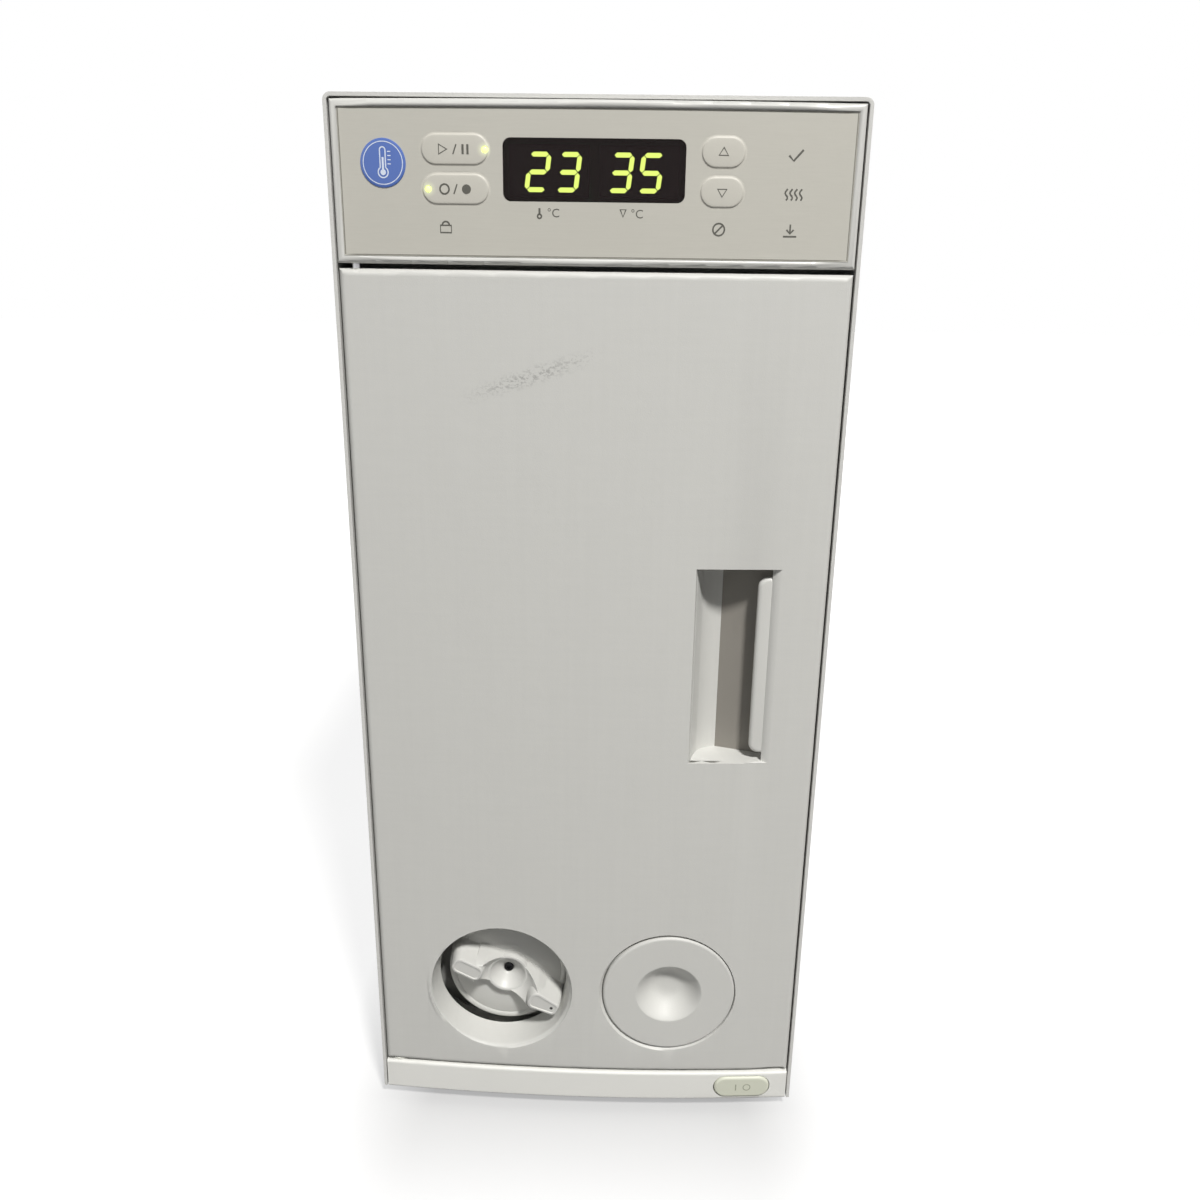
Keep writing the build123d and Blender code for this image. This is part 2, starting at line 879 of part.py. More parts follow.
grip_left = handle_inner_right - grip_width
with BuildPart() as handle_grip:
    slab(
        grip_left,
        handle_inner_right,
        handle_face + grip_recess,
        handle_face + grip_recess + grip_thickness,
        handle_bottom + grip_gap_bottom,
        handle_top - grip_gap_top,
    )
    fillet(handle_grip.edges().filter_by(Axis.Y).group_by(Axis.X)[0], grip_corner)
    fillet(handle_grip.edges().group_by(Axis.X)[0], 0.6)

# Inner panel of the door, with clear room for the knob
slot_radius = knob_radius + 3.5
slot_reach = 12.0
panel_half = front_half - door_side_wall
with BuildPart() as door_inner_panel:
    slab(
        -panel_half,
        panel_half,
        post_back,
        door_back,
        door_bottom + door_side_wall,
        door_top - door_side_wall,
    )
    for x in (-1, 1):
        slot_x = knob_x - slot_reach / 2 if x < 0 else plug_x + slot_reach / 2
        pill_y(
            slot_x,
            opening_z,
            2 * slot_radius + slot_reach,
            2 * slot_radius,
            post_back,
            door_back,
            mode=Mode.SUBTRACT,
        )
    for x in (-post_x, post_x):
        for z in post_rows:
            rod_y(x, z, screw_shank, post_back, door_back, mode=Mode.SUBTRACT)

with BuildPart() as door_screws:
    for x in (-post_x, post_x):
        for z in post_rows:
            rod_y(x, z, screw_shank, post_back - 10.0, door_back)
            rod_y(x, z, screw_head, door_back, door_back + screw_head_height)

foam_front = bow_y(front_half - foam_margin, door_face_wall) + 1.0
gasket_outer_half = chamber_half + 2.0 + gasket_width
gasket_bottom = chamber_bottom - 3.0 - gasket_width
gasket_top = chamber_top + 2.0 + gasket_width
with BuildPart() as door_insulation:
    slab(
        -front_half + foam_margin,
        front_half - foam_margin,
        foam_front,
        post_back,
        gasket_bottom + 5.0,
        door_top - door_side_wall - 4.0,
    )
    slab(
        housing_left - 1.0,
        front_half - foam_margin,
        foam_front,
        housing_back + 1.0,
        handle_bottom - handle_wall - 1.5,
        handle_top + handle_wall + 1.5,
        mode=Mode.SUBTRACT,
    )

with BuildPart() as door_gasket:
    slab(
        -gasket_outer_half,
        gasket_outer_half,
        door_back,
        door_back + gasket_thickness,
        gasket_bottom,
        gasket_top,
    )
    fillet(door_gasket.edges().filter_by(Axis.Y), gasket_corner)
    with BuildSketch(Plane.XZ.offset(-door_back)) as gasket_hole:
        with Locations((0, (gasket_bottom + gasket_top) / 2)):
            RectangleRounded(
                2 * (gasket_outer_half - gasket_width),
                gasket_top - gasket_bottom - 2 * gasket_width,
                gasket_corner - gasket_width / 2,
            )
    extrude(gasket_hole.sketch, amount=-gasket_thickness, mode=Mode.SUBTRACT)
    fillet(door_gasket.faces().sort_by(Axis.Y)[-1].edges(), 1.0)

with BuildPart() as strike_plates:
    for z in magnet_rows:
        slab(
            magnet_x - magnet_width / 2,
            magnet_x + magnet_width / 2,
            door_back,
            door_back + strike_thickness,
            z,
            z + magnet_height,
        )

with BuildPart() as hinge_bushes:
    rod_z(hinge_x, hinge_y, bush_radius, door_bottom, door_bottom + bush_length)
    rod_z(hinge_x, hinge_y, bush_radius + 1.0, door_bottom - bush_flange, door_bottom)
    rod_z(hinge_x, hinge_y, bush_radius, door_top - bush_length, door_top)
    rod_z(
        hinge_x,
        hinge_y,
        pin_radius + pin_clearance,
        door_bottom - bush_flange,
        door_top,
        mode=Mode.SUBTRACT,
    )

# Round plug over the second valve's place
plug_back = plug_face + plug_depth
dimple_back = plug_face + dimple_depth
with BuildPart() as blank_plug:
    turned(
        plug_x,
        opening_z,
        [
            (0, front_apex - 1.0),
            (plug_radius, front_apex - 1.0),
            (plug_radius, plug_back),
            (plug_radius - plug_wall, plug_back),
            (plug_radius - plug_wall, plug_face + plug_wall + 1.0),
            (dimple_radius + plug_wall, plug_face + plug_wall + 1.0),
            (dimple_floor + plug_wall, dimple_back + plug_wall),
            (0, dimple_back + plug_wall),
        ],
    )
    bowed_slab(
        -front_half,
        front_half,
        door_bottom,
        door_top,
        0,
        flat_back=plug_back,
        mode=Mode.INTERSECT,
    )
    fillet(blank_plug.edges().group_by(Axis.Y)[0], plug_round)
    turned(
        plug_x,
        opening_z,
        [
            (0, front_apex - 1.0),
            (dimple_radius + 2.0, front_apex - 1.0),
            (dimple_radius + 2.0, plug_face - 0.4),
            (dimple_radius, plug_face + 1.2),
            (dimple_floor, dimple_back),
            (0, dimple_back),
        ],
        rounds=[(dimple_radius, plug_face + 1.2, 3.0), (dimple_floor, dimple_back, 5.0)],
        mode=Mode.SUBTRACT,
    )

# Valve knob: disc, two tabs, the web between them and the hub cup
tab_front = knob_face + tab_set_back
web_front = knob_face + web_set_back
cup_rim = knob_face + cup_rim_set_back
cup_floor = knob_face + cup_floor_set_back
hub_back = frame_front - 0.6
web_reach = knob_tip - 4.0
web_end = tab_width / 2 - 0.8
with BuildPart() as valve_knob:
    turned(
        knob_x,
        opening_z,
        [
            (0, disc_front),
            (knob_radius, disc_front),
            (knob_radius, disc_back),
            (hub_radius, disc_back),
            (hub_radius, hub_back),
            (0, hub_back),
        ],
        rounds=[(knob_radius, disc_front, 1.5)],
    )
    with BuildSketch(Plane.XZ.offset(-disc_front)) as tabs:
        with Locations((knob_x, opening_z)):
            with PolarLocations(knob_tip - tab_length / 2, 2, start_angle=knob_angle):
                RectangleRounded(tab_length, tab_width, tab_width / 2 - 0.8)
    extrude(tabs.sketch, amount=disc_front - tab_front, taper=2.0)
    with BuildSketch(Plane.XZ.offset(-disc_front)) as web:
        with Locations(Location((knob_x, opening_z, 0), (0, 0, knob_angle))):
            Polygon(
                (-web_reach, -web_end),
                (0, -cup_radius - cup_wall),
                (web_reach, -web_end),
                (web_reach, web_end),
                (0, cup_radius + cup_wall),
                (-web_reach, web_end),
            )
    extrude(web.sketch, amount=disc_front - web_front)
    fillet(valve_knob.faces().group_by(Axis.Y)[0].edges(), tab_round)
    rod_y(knob_x, opening_z, cup_radius + cup_wall, cup_rim, disc_front)
    rod_y(knob_x, opening_z, cup_radius, cup_rim - 4.0, cup_floor, mode=Mode.SUBTRACT)
    rod_y(knob_x, opening_z, shaft_radius, cup_floor + 3.0, hub_back, mode=Mode.SUBTRACT)
    rod_y(knob_x, opening_z, knob_screw_radius, cup_floor, cup_floor + 3.0, mode=Mode.SUBTRACT)

screw_end = cup_floor + 12.0
with BuildPart() as knob_screw:
    rod_y(knob_x, opening_z, knob_screw_head, cup_floor - 2.4, cup_floor)
    rod_y(knob_x, opening_z, knob_screw_radius, cup_floor, screw_end)
    with BuildSketch(Plane.XZ.offset(-(cup_floor - 2.4))) as hex_socket:
        with Locations((knob_x, opening_z)):
            RegularPolygon(1.7, 6)
    extrude(hex_socket.sketch, amount=-1.8, mode=Mode.SUBTRACT)

shaft_end = frame_back + valve_length - 10.0
with BuildPart() as valve_shaft:
    rod_y(knob_x, opening_z, shaft_radius, cup_floor + 3.0, shaft_end)
    rod_y(knob_x, opening_z, knob_screw_radius, cup_floor + 3.0, screw_end, mode=Mode.SUBTRACT)

valve_back = frame_back + valve_length
clamp_back = valve_back + clamp_length
with BuildPart() as valve_body:
    rod_y(knob_x, opening_z, valve_radius, frame_back, valve_back)
    chamfer(valve_body.edges().group_by(Axis.Y)[-1], 1.0)
    rod_y(knob_x, opening_z, shaft_radius + shaft_clearance, frame_back, shaft_end + 0.5, mode=Mode.SUBTRACT)

with BuildPart() as valve_clamp_ring:
    rod_y(knob_x, opening_z, clamp_radius, valve_back, clamp_back)
    fillet(valve_clamp_ring.edges().group_by(Axis.Y)[-1], 1.0)

port_angles = [30.0 + 360.0 * index / port_count for index in range(port_count)]
port_places = [
    (
        knob_x + port_circle * math.cos(math.radians(angle)),
        opening_z + port_circle * math.sin(math.radians(angle)),
    )
    for angle in port_angles
]
fitting_back = clamp_back + fitting_length
with BuildPart() as valve_fittings:
    for x, z in port_places:
        with BuildSketch(Plane.XZ.offset(-clamp_back)) as hexagon:
            with Locations((x, z)):
                RegularPolygon(fitting_across / 2, 6, major_radius=False)
        extrude(hexagon.sketch, amount=-fitting_length)

loop_ends = (port_places[0], port_places[port_count // 2])
loop_straight = 10.0
with BuildPart() as sample_loop:
    with BuildLine():
        loop_start = (loop_ends[0][0], fitting_back, loop_ends[0][1])
        loop_near = (loop_ends[0][0], fitting_back + loop_straight, loop_ends[0][1])
        loop_top = (knob_x, fitting_back + loop_straight + port_circle, opening_z)
        loop_far = (loop_ends[1][0], fitting_back + loop_straight, loop_ends[1][1])
        loop_end = (loop_ends[1][0], fitting_back, loop_ends[1][1])
        Line(loop_start, loop_near)
        ThreePointArc(loop_near, loop_top, loop_far)
        Line(loop_far, loop_end)
    with BuildSketch(Plane(origin=loop_start, z_dir=(0, 1, 0))):
        Circle(loop_tube)
    sweep()

# Oven liner and its insulation
heater_legs = [
    (
        heater_ring * math.cos(math.radians(angle)),
        chamber_middle + heater_ring * math.sin(math.radians(angle)),
    )
    for angle in (-110.0, -70.0)
]
probe_x = 30.0
probe_y = baffle_front - 12.0
cutout_x = -30.0
pipe_y = frame_back + pipe_set_back
tubing_x = -70.0
tubing_y = frame_back + 34.0
tubing_hole = 7.0
liner_half = chamber_half + liner_sheet
liner_bottom = chamber_bottom - liner_sheet
liner_top = chamber_top + liner_sheet
liner_back = chamber_back + liner_sheet
with BuildPart() as oven_liner:
    slab(-liner_half, liner_half, frame_back, liner_back, liner_bottom, liner_top)
    slab(
        -chamber_half,
        chamber_half,
        frame_back,
        chamber_back,
        chamber_bottom,
        chamber_top,
        mode=Mode.SUBTRACT,
    )
    rod_y(0, chamber_middle, fan_shaft + 2.0, chamber_back, liner_back, mode=Mode.SUBTRACT)
    for x, z in heater_legs:
        rod_y(x, z, heater_leg, chamber_back, liner_back, mode=Mode.SUBTRACT)
    rod_z(pipe_x, pipe_y, pipe_radius, liner_bottom, chamber_bottom, mode=Mode.SUBTRACT)
    rod_z(tubing_x, tubing_y, tubing_hole, liner_bottom, chamber_bottom, mode=Mode.SUBTRACT)
    rod_z(probe_x, probe_y, probe_radius, chamber_top, liner_top, mode=Mode.SUBTRACT)
    for z in (chamber_bottom, chamber_top):
        split(bisect_by=Plane.XY.offset(z), keep=Keep.BOTH)
    split(bisect_by=Plane.XZ.offset(-chamber_back), keep=Keep.BOTH)

plate_post = 3.0
post_spread = motor_plate_size / 2 - 9.0
plate_posts = [
    (x, chamber_middle + z)
    for x in (-post_spread, post_spread)
    for z in (-post_spread, post_spread)
]
with BuildPart() as insulation_slabs:
    for x0 in (-liner_half - slab_side, liner_half):
        slab(x0, x0 + slab_side, frame_back, slab_back, slab_bottom, slab_upper)
    slab(-liner_half, liner_half, frame_back, slab_back, slab_bottom, liner_bottom)
    slab(-liner_half, liner_half, frame_back, slab_back, liner_top, slab_upper)
    slab(-liner_half, liner_half, liner_back, slab_back, liner_bottom, liner_top)
    rod_y(0, chamber_middle, motor_boss + 1.0, liner_back, slab_back, mode=Mode.SUBTRACT)
    for x, z in heater_legs:
        rod_y(x, z, heater_leg, liner_back, slab_back, mode=Mode.SUBTRACT)
    for x, z in plate_posts:
        rod_y(x, z, plate_post, liner_back, slab_back, mode=Mode.SUBTRACT)
    rod_z(pipe_x, pipe_y, pipe_radius, slab_bottom, liner_bottom, mode=Mode.SUBTRACT)
    rod_z(tubing_x, tubing_y, tubing_hole, slab_bottom, liner_bottom, mode=Mode.SUBTRACT)
    rod_z(probe_x, probe_y, 7.0, liner_top, slab_upper, mode=Mode.SUBTRACT)
    rod_z(cutout_x, probe_y, cutout_radius + 1.0, liner_top, slab_upper, mode=Mode.SUBTRACT)
    for z in magnet_rows:
        slab(
            magnet_x - magnet_width / 2 - seat_gap,
            inner_half,
            frame_back,
            magnet_front + magnet_depth + seat_gap,
            z - seat_gap,
            z + magnet_height + seat_gap,
            mode=Mode.SUBTRACT,
        )

# Air baffle with its intake grille, fan wheel, heater and motor
baffle_bottom = chamber_bottom + baffle_margin
baffle_top = chamber_top - baffle_margin
grille_radius = fan_radius - 8.0
with BuildPart() as air_baffle:
    slab(-baffle_half, baffle_half, baffle_front, baffle_front + baffle_sheet, baffle_bottom, baffle_top)
    for x0 in (-baffle_half, baffle_half - baffle_sheet):
        slab(x0, x0 + baffle_sheet, baffle_front, chamber_back, baffle_bottom, baffle_top)
    rows = int(grille_radius // slot_pitch)
    for row in range(-rows, rows + 1):
        reach = math.sqrt(grille_radius**2 - (row * slot_pitch) ** 2)
        slab(
            -reach,
            reach,
            baffle_front,
            baffle_front + baffle_sheet,
            chamber_middle + row * slot_pitch - slot_height / 2,
            chamber_middle + row * slot_pitch + slot_height / 2,
            mode=Mode.SUBTRACT,
        )
    side_rows = int((baffle_top - baffle_bottom) // (2 * slot_pitch)) - 1
    for row in range(side_rows):
        slot_z = baffle_bottom + (row + 1) * 2 * slot_pitch
        slab(
            -baffle_half,
            baffle_half,
            baffle_front + 8.0,
            chamber_back - 8.0,
            slot_z - slot_height / 2,
            slot_z + slot_height / 2,
            mode=Mode.SUBTRACT,
        )

with BuildPart() as fan_wheel:
    rod_y(0, chamber_middle, fan_hub, fan_front, fan_back)
    rod_y(0, chamber_middle, fan_radius, fan_back - fan_plate, fan_back)
    with BuildSketch(Plane.XZ.offset(-fan_front)) as blades:
        with Locations((0, chamber_middle)):
            with PolarLocations(fan_radius - 10.0, fan_blades):
                Rectangle(15.0, 1.6, rotation=25.0)
    extrude(blades.sketch, amount=-(fan_width - fan_plate / 2))
    rod_y(0, chamber_middle, fan_shaft, fan_back, slab_back + 18.0)

heater_y = (fan_front + fan_back) / 2
heater_start = math.radians(-110.0)
heater_plane = Plane(
    origin=(0, heater_y, chamber_middle),
    x_dir=(math.cos(heater_start), 0, math.sin(heater_start)),
    z_dir=(-math.sin(heater_start), 0, math.cos(heater_start)),
)
with BuildPart() as heater_element:
    with BuildSketch(heater_plane) as heater_section:
        with Locations((heater_ring, 0)):
            Circle(heater_tube)
    revolve(heater_section.sketch, axis=Axis((0, 0, chamber_middle), (0, 1, 0)), revolution_arc=320.0)
    for x, z in heater_legs:
        rod_y(x, z, heater_leg, heater_y, slab_back - 3.0)

with BuildPart() as fan_motor:
    rod_y(0, chamber_middle, motor_boss, liner_back + 1.0, plate_back)
    rod_y(0, chamber_middle, motor_radius, plate_back, plate_back + motor_length)
    fillet(fan_motor.edges().group_by(Axis.Y)[-1], 3.0)
    rod_y(
        0,
        chamber_middle,
        fan_shaft + shaft_clearance,
        liner_back,
        slab_back + 19.0,
        mode=Mode.SUBTRACT,
    )

with BuildPart() as motor_plate:
    half_plate = motor_plate_size / 2
    slab(
        -half_plate,
        half_plate,
        slab_back,
        plate_back,
        chamber_middle - half_plate,
        chamber_middle + half_plate,
    )
    rod_y(0, chamber_middle, motor_boss, slab_back, plate_back, mode=Mode.SUBTRACT)
    for x, z in plate_posts:
        rod_y(x, z, plate_post, liner_back, slab_back)

# Column clips on the baffle: a spring ring on an eared foot, open to the front
clip_radius = clip_bore + clip_wall
clip_y = baffle_front - clip_pad - clip_radius + 0.6
clip_places = [
    (x, chamber_middle + z)
    for x in (-clip_spacing / 2, clip_spacing / 2)
    for z in (-clip_rows / 2, clip_rows / 2)
]
clip_foot_half = clip_ear + 4.0
with BuildPart() as column_clips:
    for x, z in clip_places:
        with BuildSketch(Plane.XY.offset(z - clip_height / 2)) as clip_plan:
            with Locations((x, clip_y)):
                Circle(clip_radius)
            with Locations((x, baffle_front - clip_pad / 2)):
                Rectangle(2 * clip_foot_half, clip_pad)
            with Locations((x, clip_y)):
                Circle(clip_bore, mode=Mode.SUBTRACT)
            with Locations((x, clip_y - clip_radius)):
                Rectangle(clip_mouth, 2 * clip_radius, mode=Mode.SUBTRACT)
        extrude(clip_plan.sketch, amount=clip_height)
        for ear in (-clip_ear, clip_ear):
            rod_y(x + ear, z, screw_shank, baffle_front - clip_pad, baffle_front, mode=Mode.SUBTRACT)

with BuildPart() as clip_screws:
    for x, z in clip_places:
        for ear in (-clip_ear, clip_ear):
            rod_y(x + ear, z, screw_shank, baffle_front - clip_pad, baffle_front)
            rod_y(x + ear, z, 2.6, baffle_front - clip_pad - 1.6, baffle_front - clip_pad)

# Drip tray, its drain pipe and the leak sensor
tray_front = frame_back + 12.0
tray_back = tray_front + tray_length
with BuildPart() as drip_tray:
    slab(-tray_half, tray_half, tray_front, tray_back, chamber_bottom, chamber_bottom + tray_height)
    fillet(drip_tray.edges().filter_by(Axis.Z), 6.0)
    with BuildSketch(Plane.XY.offset(chamber_bottom + tray_wall)) as tray_inside:
        with Locations((0, (tray_front + tray_back) / 2)):
            RectangleRounded(2 * (tray_half - tray_wall), tray_length - 2 * tray_wall, 6.0 - tray_wall)
    extrude(tray_inside.sketch, amount=tray_height, mode=Mode.SUBTRACT)
    rod_z(pipe_x, pipe_y, pipe_bore, chamber_bottom, chamber_bottom + tray_wall, mode=Mode.SUBTRACT)

pipe_end = overall_depth / 2
with BuildPart() as drain_pipe:
    with BuildLine():
        FilletPolyline(
            (pipe_x, pipe_y, chamber_bottom),
            (pipe_x, pipe_y, pipe_z),
            (pipe_x, pipe_end, pipe_z),
            radius=pipe_bend,
        )
    with BuildSketch(Plane(origin=(pipe_x, pipe_y, chamber_bottom), z_dir=(0, 0, -1))):
        Circle(pipe_radius)
        Circle(pipe_bore, mode=Mode.SUBTRACT)
    sweep()
    rod_y(pipe_x, pipe_z, pipe_radius + pipe_collar, rear_face, rear_face + pipe_collar_sheet)
    rod_y(pipe_x, pipe_z, pipe_bore, rear_face, rear_face + pipe_collar_sheet, mode=Mode.SUBTRACT)

sensor_x = tray_half - 20.0
sensor_y = pipe_y - 25.5
sensor_length = 16.0
sensor_width = 9.0
sensor_height = 4.0
sensor_bottom = chamber_bottom + tray_wall
with BuildPart() as leak_sensor:
    slab(
        sensor_x - sensor_length / 2,
        sensor_x + sensor_length / 2,
        sensor_y - sensor_width / 2,
        sensor_y + sensor_width / 2,
        sensor_bottom,
        sensor_bottom + sensor_height,
    )
    fillet(leak_sensor.edges().filter_by(Axis.Z), 2.0)
    for x in (sensor_x - sensor_length / 4, sensor_x + sensor_length / 4):
        rod_z(x, sensor_y, 1.2, sensor_bottom + sensor_height, sensor_bottom + sensor_height + 1.0)

with BuildPart() as temperature_probe:
    rod_z(probe_x, probe_y, probe_radius, chamber_top - probe_length, liner_top)
    with BuildSketch(Plane.XY.offset(liner_top)) as probe_nut:
        with Locations((probe_x, probe_y)):
            RegularPolygon(5.0, 6)
    extrude(probe_nut.sketch, amount=6.0)
    rod_z(probe_x, probe_y, 2.5, liner_top + 6.0, slab_upper)

with BuildPart() as thermal_cutout:
    rod_z(cutout_x, probe_y, cutout_radius, liner_top, liner_top + 5.0)
    rod_z(cutout_x, probe_y, cutout_radius - 2.5, liner_top + 5.0, liner_top + 8.0)
    for x in (-2.5, 2.5):
        slab(
            cutout_x + x - 0.4,
            cutout_x + x + 0.4,
            probe_y - 2.0,
            probe_y + 2.0,
            liner_top + 8.0,
            slab_upper,
        )

# Control panel: bezel with a raised rim, overlay, display window, keys and their board
board_back = board_front + board_sheet
board_half = -(hinge_x + hinge_block) - 3.0
field_half = front_half - bezel_rim
field_bottom = bezel_bottom + bezel_rim
field_top = bezel_top - bezel_rim
display_x = (display_left + display_right) / 2
display_z = (display_top + display_bottom) / 2
display_width = display_right - display_left
tact_front = board_front - tact_height - tact_plunger
key_back = tact_front - key_travel - seat_gap
key_places = {
    "upper_left_key": (left_key_x, key_rows[0], left_key_width),
    "lower_left_key": (left_key_x, key_rows[1], left_key_width),
    "up_key": (right_key_x, key_rows[0], right_key_width),
    "down_key": (right_key_x, key_rows[1], right_key_width),
}
lamp_places = [(upper_lamp_x, key_rows[0]), (lower_lamp_x, key_rows[1])]
board_post_x = front_half - 26.1
board_posts = [(x, z) for x in (-board_post_x, board_post_x) for z in (bezel_bottom + 12.0, bezel_top - 12.0)]
board_post = 3.0
window_back = bezel_recess - overlay_sheet + window_thickness


def display_cut(y0, y1, clearance):
    """The rounded rectangle of the display, cut through from y0 to y1"""
    with BuildSketch(Plane.XZ.offset(-y0)) as outline:
        with Locations((display_x, display_z)):
            RectangleRounded(display_width + 2 * clearance, display_height + 2 * clearance, display_corner)
    extrude(outline.sketch, amount=y0 - y1, mode=Mode.SUBTRACT)


panel_cut_front = front_apex - 1.0
panel_cut_back = front_apex + front_bow + bezel_recess + bezel_wall + 1.0
with BuildPart() as panel_bezel:
    bowed_slab(-front_half, front_half, bezel_bottom, bezel_top, 0, flat_back=frame_front)
    fillet(panel_bezel.faces().sort_by(Axis.Y)[0].edges(), bezel_round)
    bowed_slab(
        -field_half,
        field_half,
        field_bottom,
        field_top,
        -1.0,
        back_depth=bezel_recess,
        mode=Mode.SUBTRACT,
    )
    bowed_slab(
        -front_half + bezel_wall,
        front_half - bezel_wall,
        bezel_bottom + bezel_wall,
        bezel_top - bezel_wall,
        bezel_recess + bezel_wall,
        flat_back=frame_front,
        mode=Mode.SUBTRACT,
    )
    bowed_slab(
        -front_half + bezel_wall / 2,
        hinge_x + hinge_block,
        bezel_bottom + bezel_wall / 2,
        bezel_bottom + 10.0,
        bezel_recess + bezel_wall / 2,
        flat_back=hinge_y + hinge_block,
    )
    rod_z(hinge_x, hinge_y, pin_radius, bezel_bottom, bezel_bottom + 9.0, mode=Mode.SUBTRACT)
    for x, z in board_posts:
        rod_y(x, z, board_post, bow_y(x, bezel_recess + bezel_wall / 2), board_front)
    display_cut(panel_cut_front, panel_cut_back, 0.1)
    for x, z, width in key_places.values():
        pill_y(
            x,
            z,
            width + 2 * key_gap,
            key_height + 2 * key_gap,
            panel_cut_front,
            panel_cut_back,
            mode=Mode.SUBTRACT,
        )

with BuildPart() as panel_overlay:
    bowed_slab(
        -field_half + 0.2,
        field_half - 0.2,
        field_bottom + 0.2,
        field_top - 0.2,
        bezel_recess - overlay_sheet,
        back_depth=bezel_recess,
    )
    display_cut(panel_cut_front, panel_cut_back, 0.1)
    for x, z, width in key_places.values():
        pill_y(
            x,
            z,
            width + 2 * key_gap,
            key_height + 2 * key_gap,
            panel_cut_front,
            panel_cut_back,
            mode=Mode.SUBTRACT,
        )

with BuildPart() as display_window:
    bowed_slab(
        display_left,
        display_right,
        display_bottom,
        display_top,
        bezel_recess - overlay_sheet,
        back_depth=window_back,
    )
    fillet(display_window.edges().filter_by(Axis.Y), display_corner)

digit_front = bow_y(display_right, window_back) + seat_gap
with BuildPart() as digit_modules:
    for x in (display_x - display_width / 4, display_x + display_width / 4):
        slab(
            x - digit_block_width / 2,
            x + digit_block_width / 2,
            digit_front,
            board_front,
            display_z - digit_block_height / 2,
            display_z + digit_block_height / 2,
        )

with BuildPart() as indicator_lamps:
    for x, z in lamp_places:
        rod_y(x, z, lamp_radius, bow_y(x), board_front)

with BuildPart() as control_board:
    slab(
        -board_half,
        board_half,
        board_front,
        board_back,
        bezel_bottom + control_board_margin,
        bezel_top - control_board_margin,
    )
    # ribbon header and the two driver chips on its rear
    slab(-25.0, 25.0, board_back, board_back + 8.0, bezel_bottom + 16.0, bezel_bottom + 24.0)
    for x in (left_key_x, right_key_x):
        slab(x - 9.0, x + 9.0, board_back, board_back + 3.0, display_z - 9.0, display_z + 9.0)
    # key switches
    for x, z, width in key_places.values():
        slab(
            x - tact_size / 2,
            x + tact_size / 2,
            board_front - tact_height,
            board_front,
            z - tact_size / 2,
            z + tact_size / 2,
        )
        rod_y(x, z, tact_size / 4, tact_front, board_front - tact_height)


def panel_key(x, z, width):
    """One pill key with a hidden lip behind the bezel's wall"""
    lip_front = bow_y(abs(x) + width / 2 + key_lip, bezel_recess + bezel_wall) + seat_gap
    with BuildPart() as key:
        pill_y(x, z, width, key_height, front_apex - 1.0, key_back)
        bowed_slab(
            -front_half,
            front_half,
            bezel_bottom,
            bezel_top,
            0,
            flat_back=key_back,
            mode=Mode.INTERSECT,
        )
        fillet(key.edges().group_by(Axis.Y)[0], key_round)
        pill_y(x, z, width + 2 * key_lip, key_height + 2 * key_lip, lip_front, lip_front + key_flange)
        for lamp_x, lamp_z in lamp_places:
            if lamp_z == z and abs(lamp_x - x) < width / 2:
                rod_y(lamp_x, z, lamp_radius + lamp_gap, front_apex - 1.0, board_front, mode=Mode.SUBTRACT)
    return key


keys = {name: panel_key(*place) for name, place in key_places.items()}

# Main board on pillars, power supply, inlet with its fuse drawer, and the signal terminals
board_left = -inner_half + board_side
board_right = 5.0
board_far = rear_inner - board_rear
board_near = board_far - board_length
pillar_inset = 6.0
pillar_places = [
    (x, y)
    for x in (board_left + pillar_inset, board_right - pillar_inset)
    for y in (board_near + pillar_inset, board_far - pillar_inset)
]
with BuildPart() as board_pillars:
    for x, y in pillar_places:
        with BuildSketch(Plane.XY.offset(pan_top)) as pillar:
            with Locations((x, y)):
                RegularPolygon(3.2, 6)
        extrude(pillar.sketch, amount=board_z - pan_top)

board_top = board_z + board_sheet
with BuildPart() as main_board:
    slab(board_left, board_right, board_near, board_far, board_z, board_top)
    # transformer, heat sink, capacitors, relay and plug strip: (x, y, width, depth, height)
    for x, y, width, depth, height in (
        (8.0, 12.0, 32.0, 40.0, 24.0),
        (52.0, 14.0, 26.5, 30.0, 3.0),
        (66.0, 66.0, 20.0, 16.0, 14.0),
        (10.0, 130.0, 40.0, 10.0, 9.0),
    ):
        x0, y0 = board_left + x, board_near + y
        slab(x0, x0 + width, y0, y0 + depth, board_top, board_top + height)
    for fin in range(6):
        fin_x = board_left + 52.0 + fin * 5.0
        slab(fin_x, fin_x + 1.5, board_near + 14.0, board_near + 44.0, board_top + 3.0, board_top + 22.0)
    for index in range(3):
        rod_z(board_left + 16.0 + index * 18.0, board_near + 74.0, 7.0, board_top, board_top + 18.0)

supply_x = inner_half - supply_side - supply_width
supply_y = rear_inner - supply_rear - supply_depth
with BuildPart() as power_supply:
    slab(
        supply_x,
        supply_x + supply_width,
        supply_y,
        supply_y + supply_depth,
        pan_top,
        pan_top + supply_height,
    )
    for fin in range(9):
        fin_y = supply_y + 12.0 + fin * 9.5
        slab(
            supply_x + 8.0,
            supply_x + supply_width - 8.0,
            fin_y,
            fin_y + 4.0,
            pan_top + supply_height - 2.0,
            pan_top + supply_height,
            mode=Mode.SUBTRACT,
        )

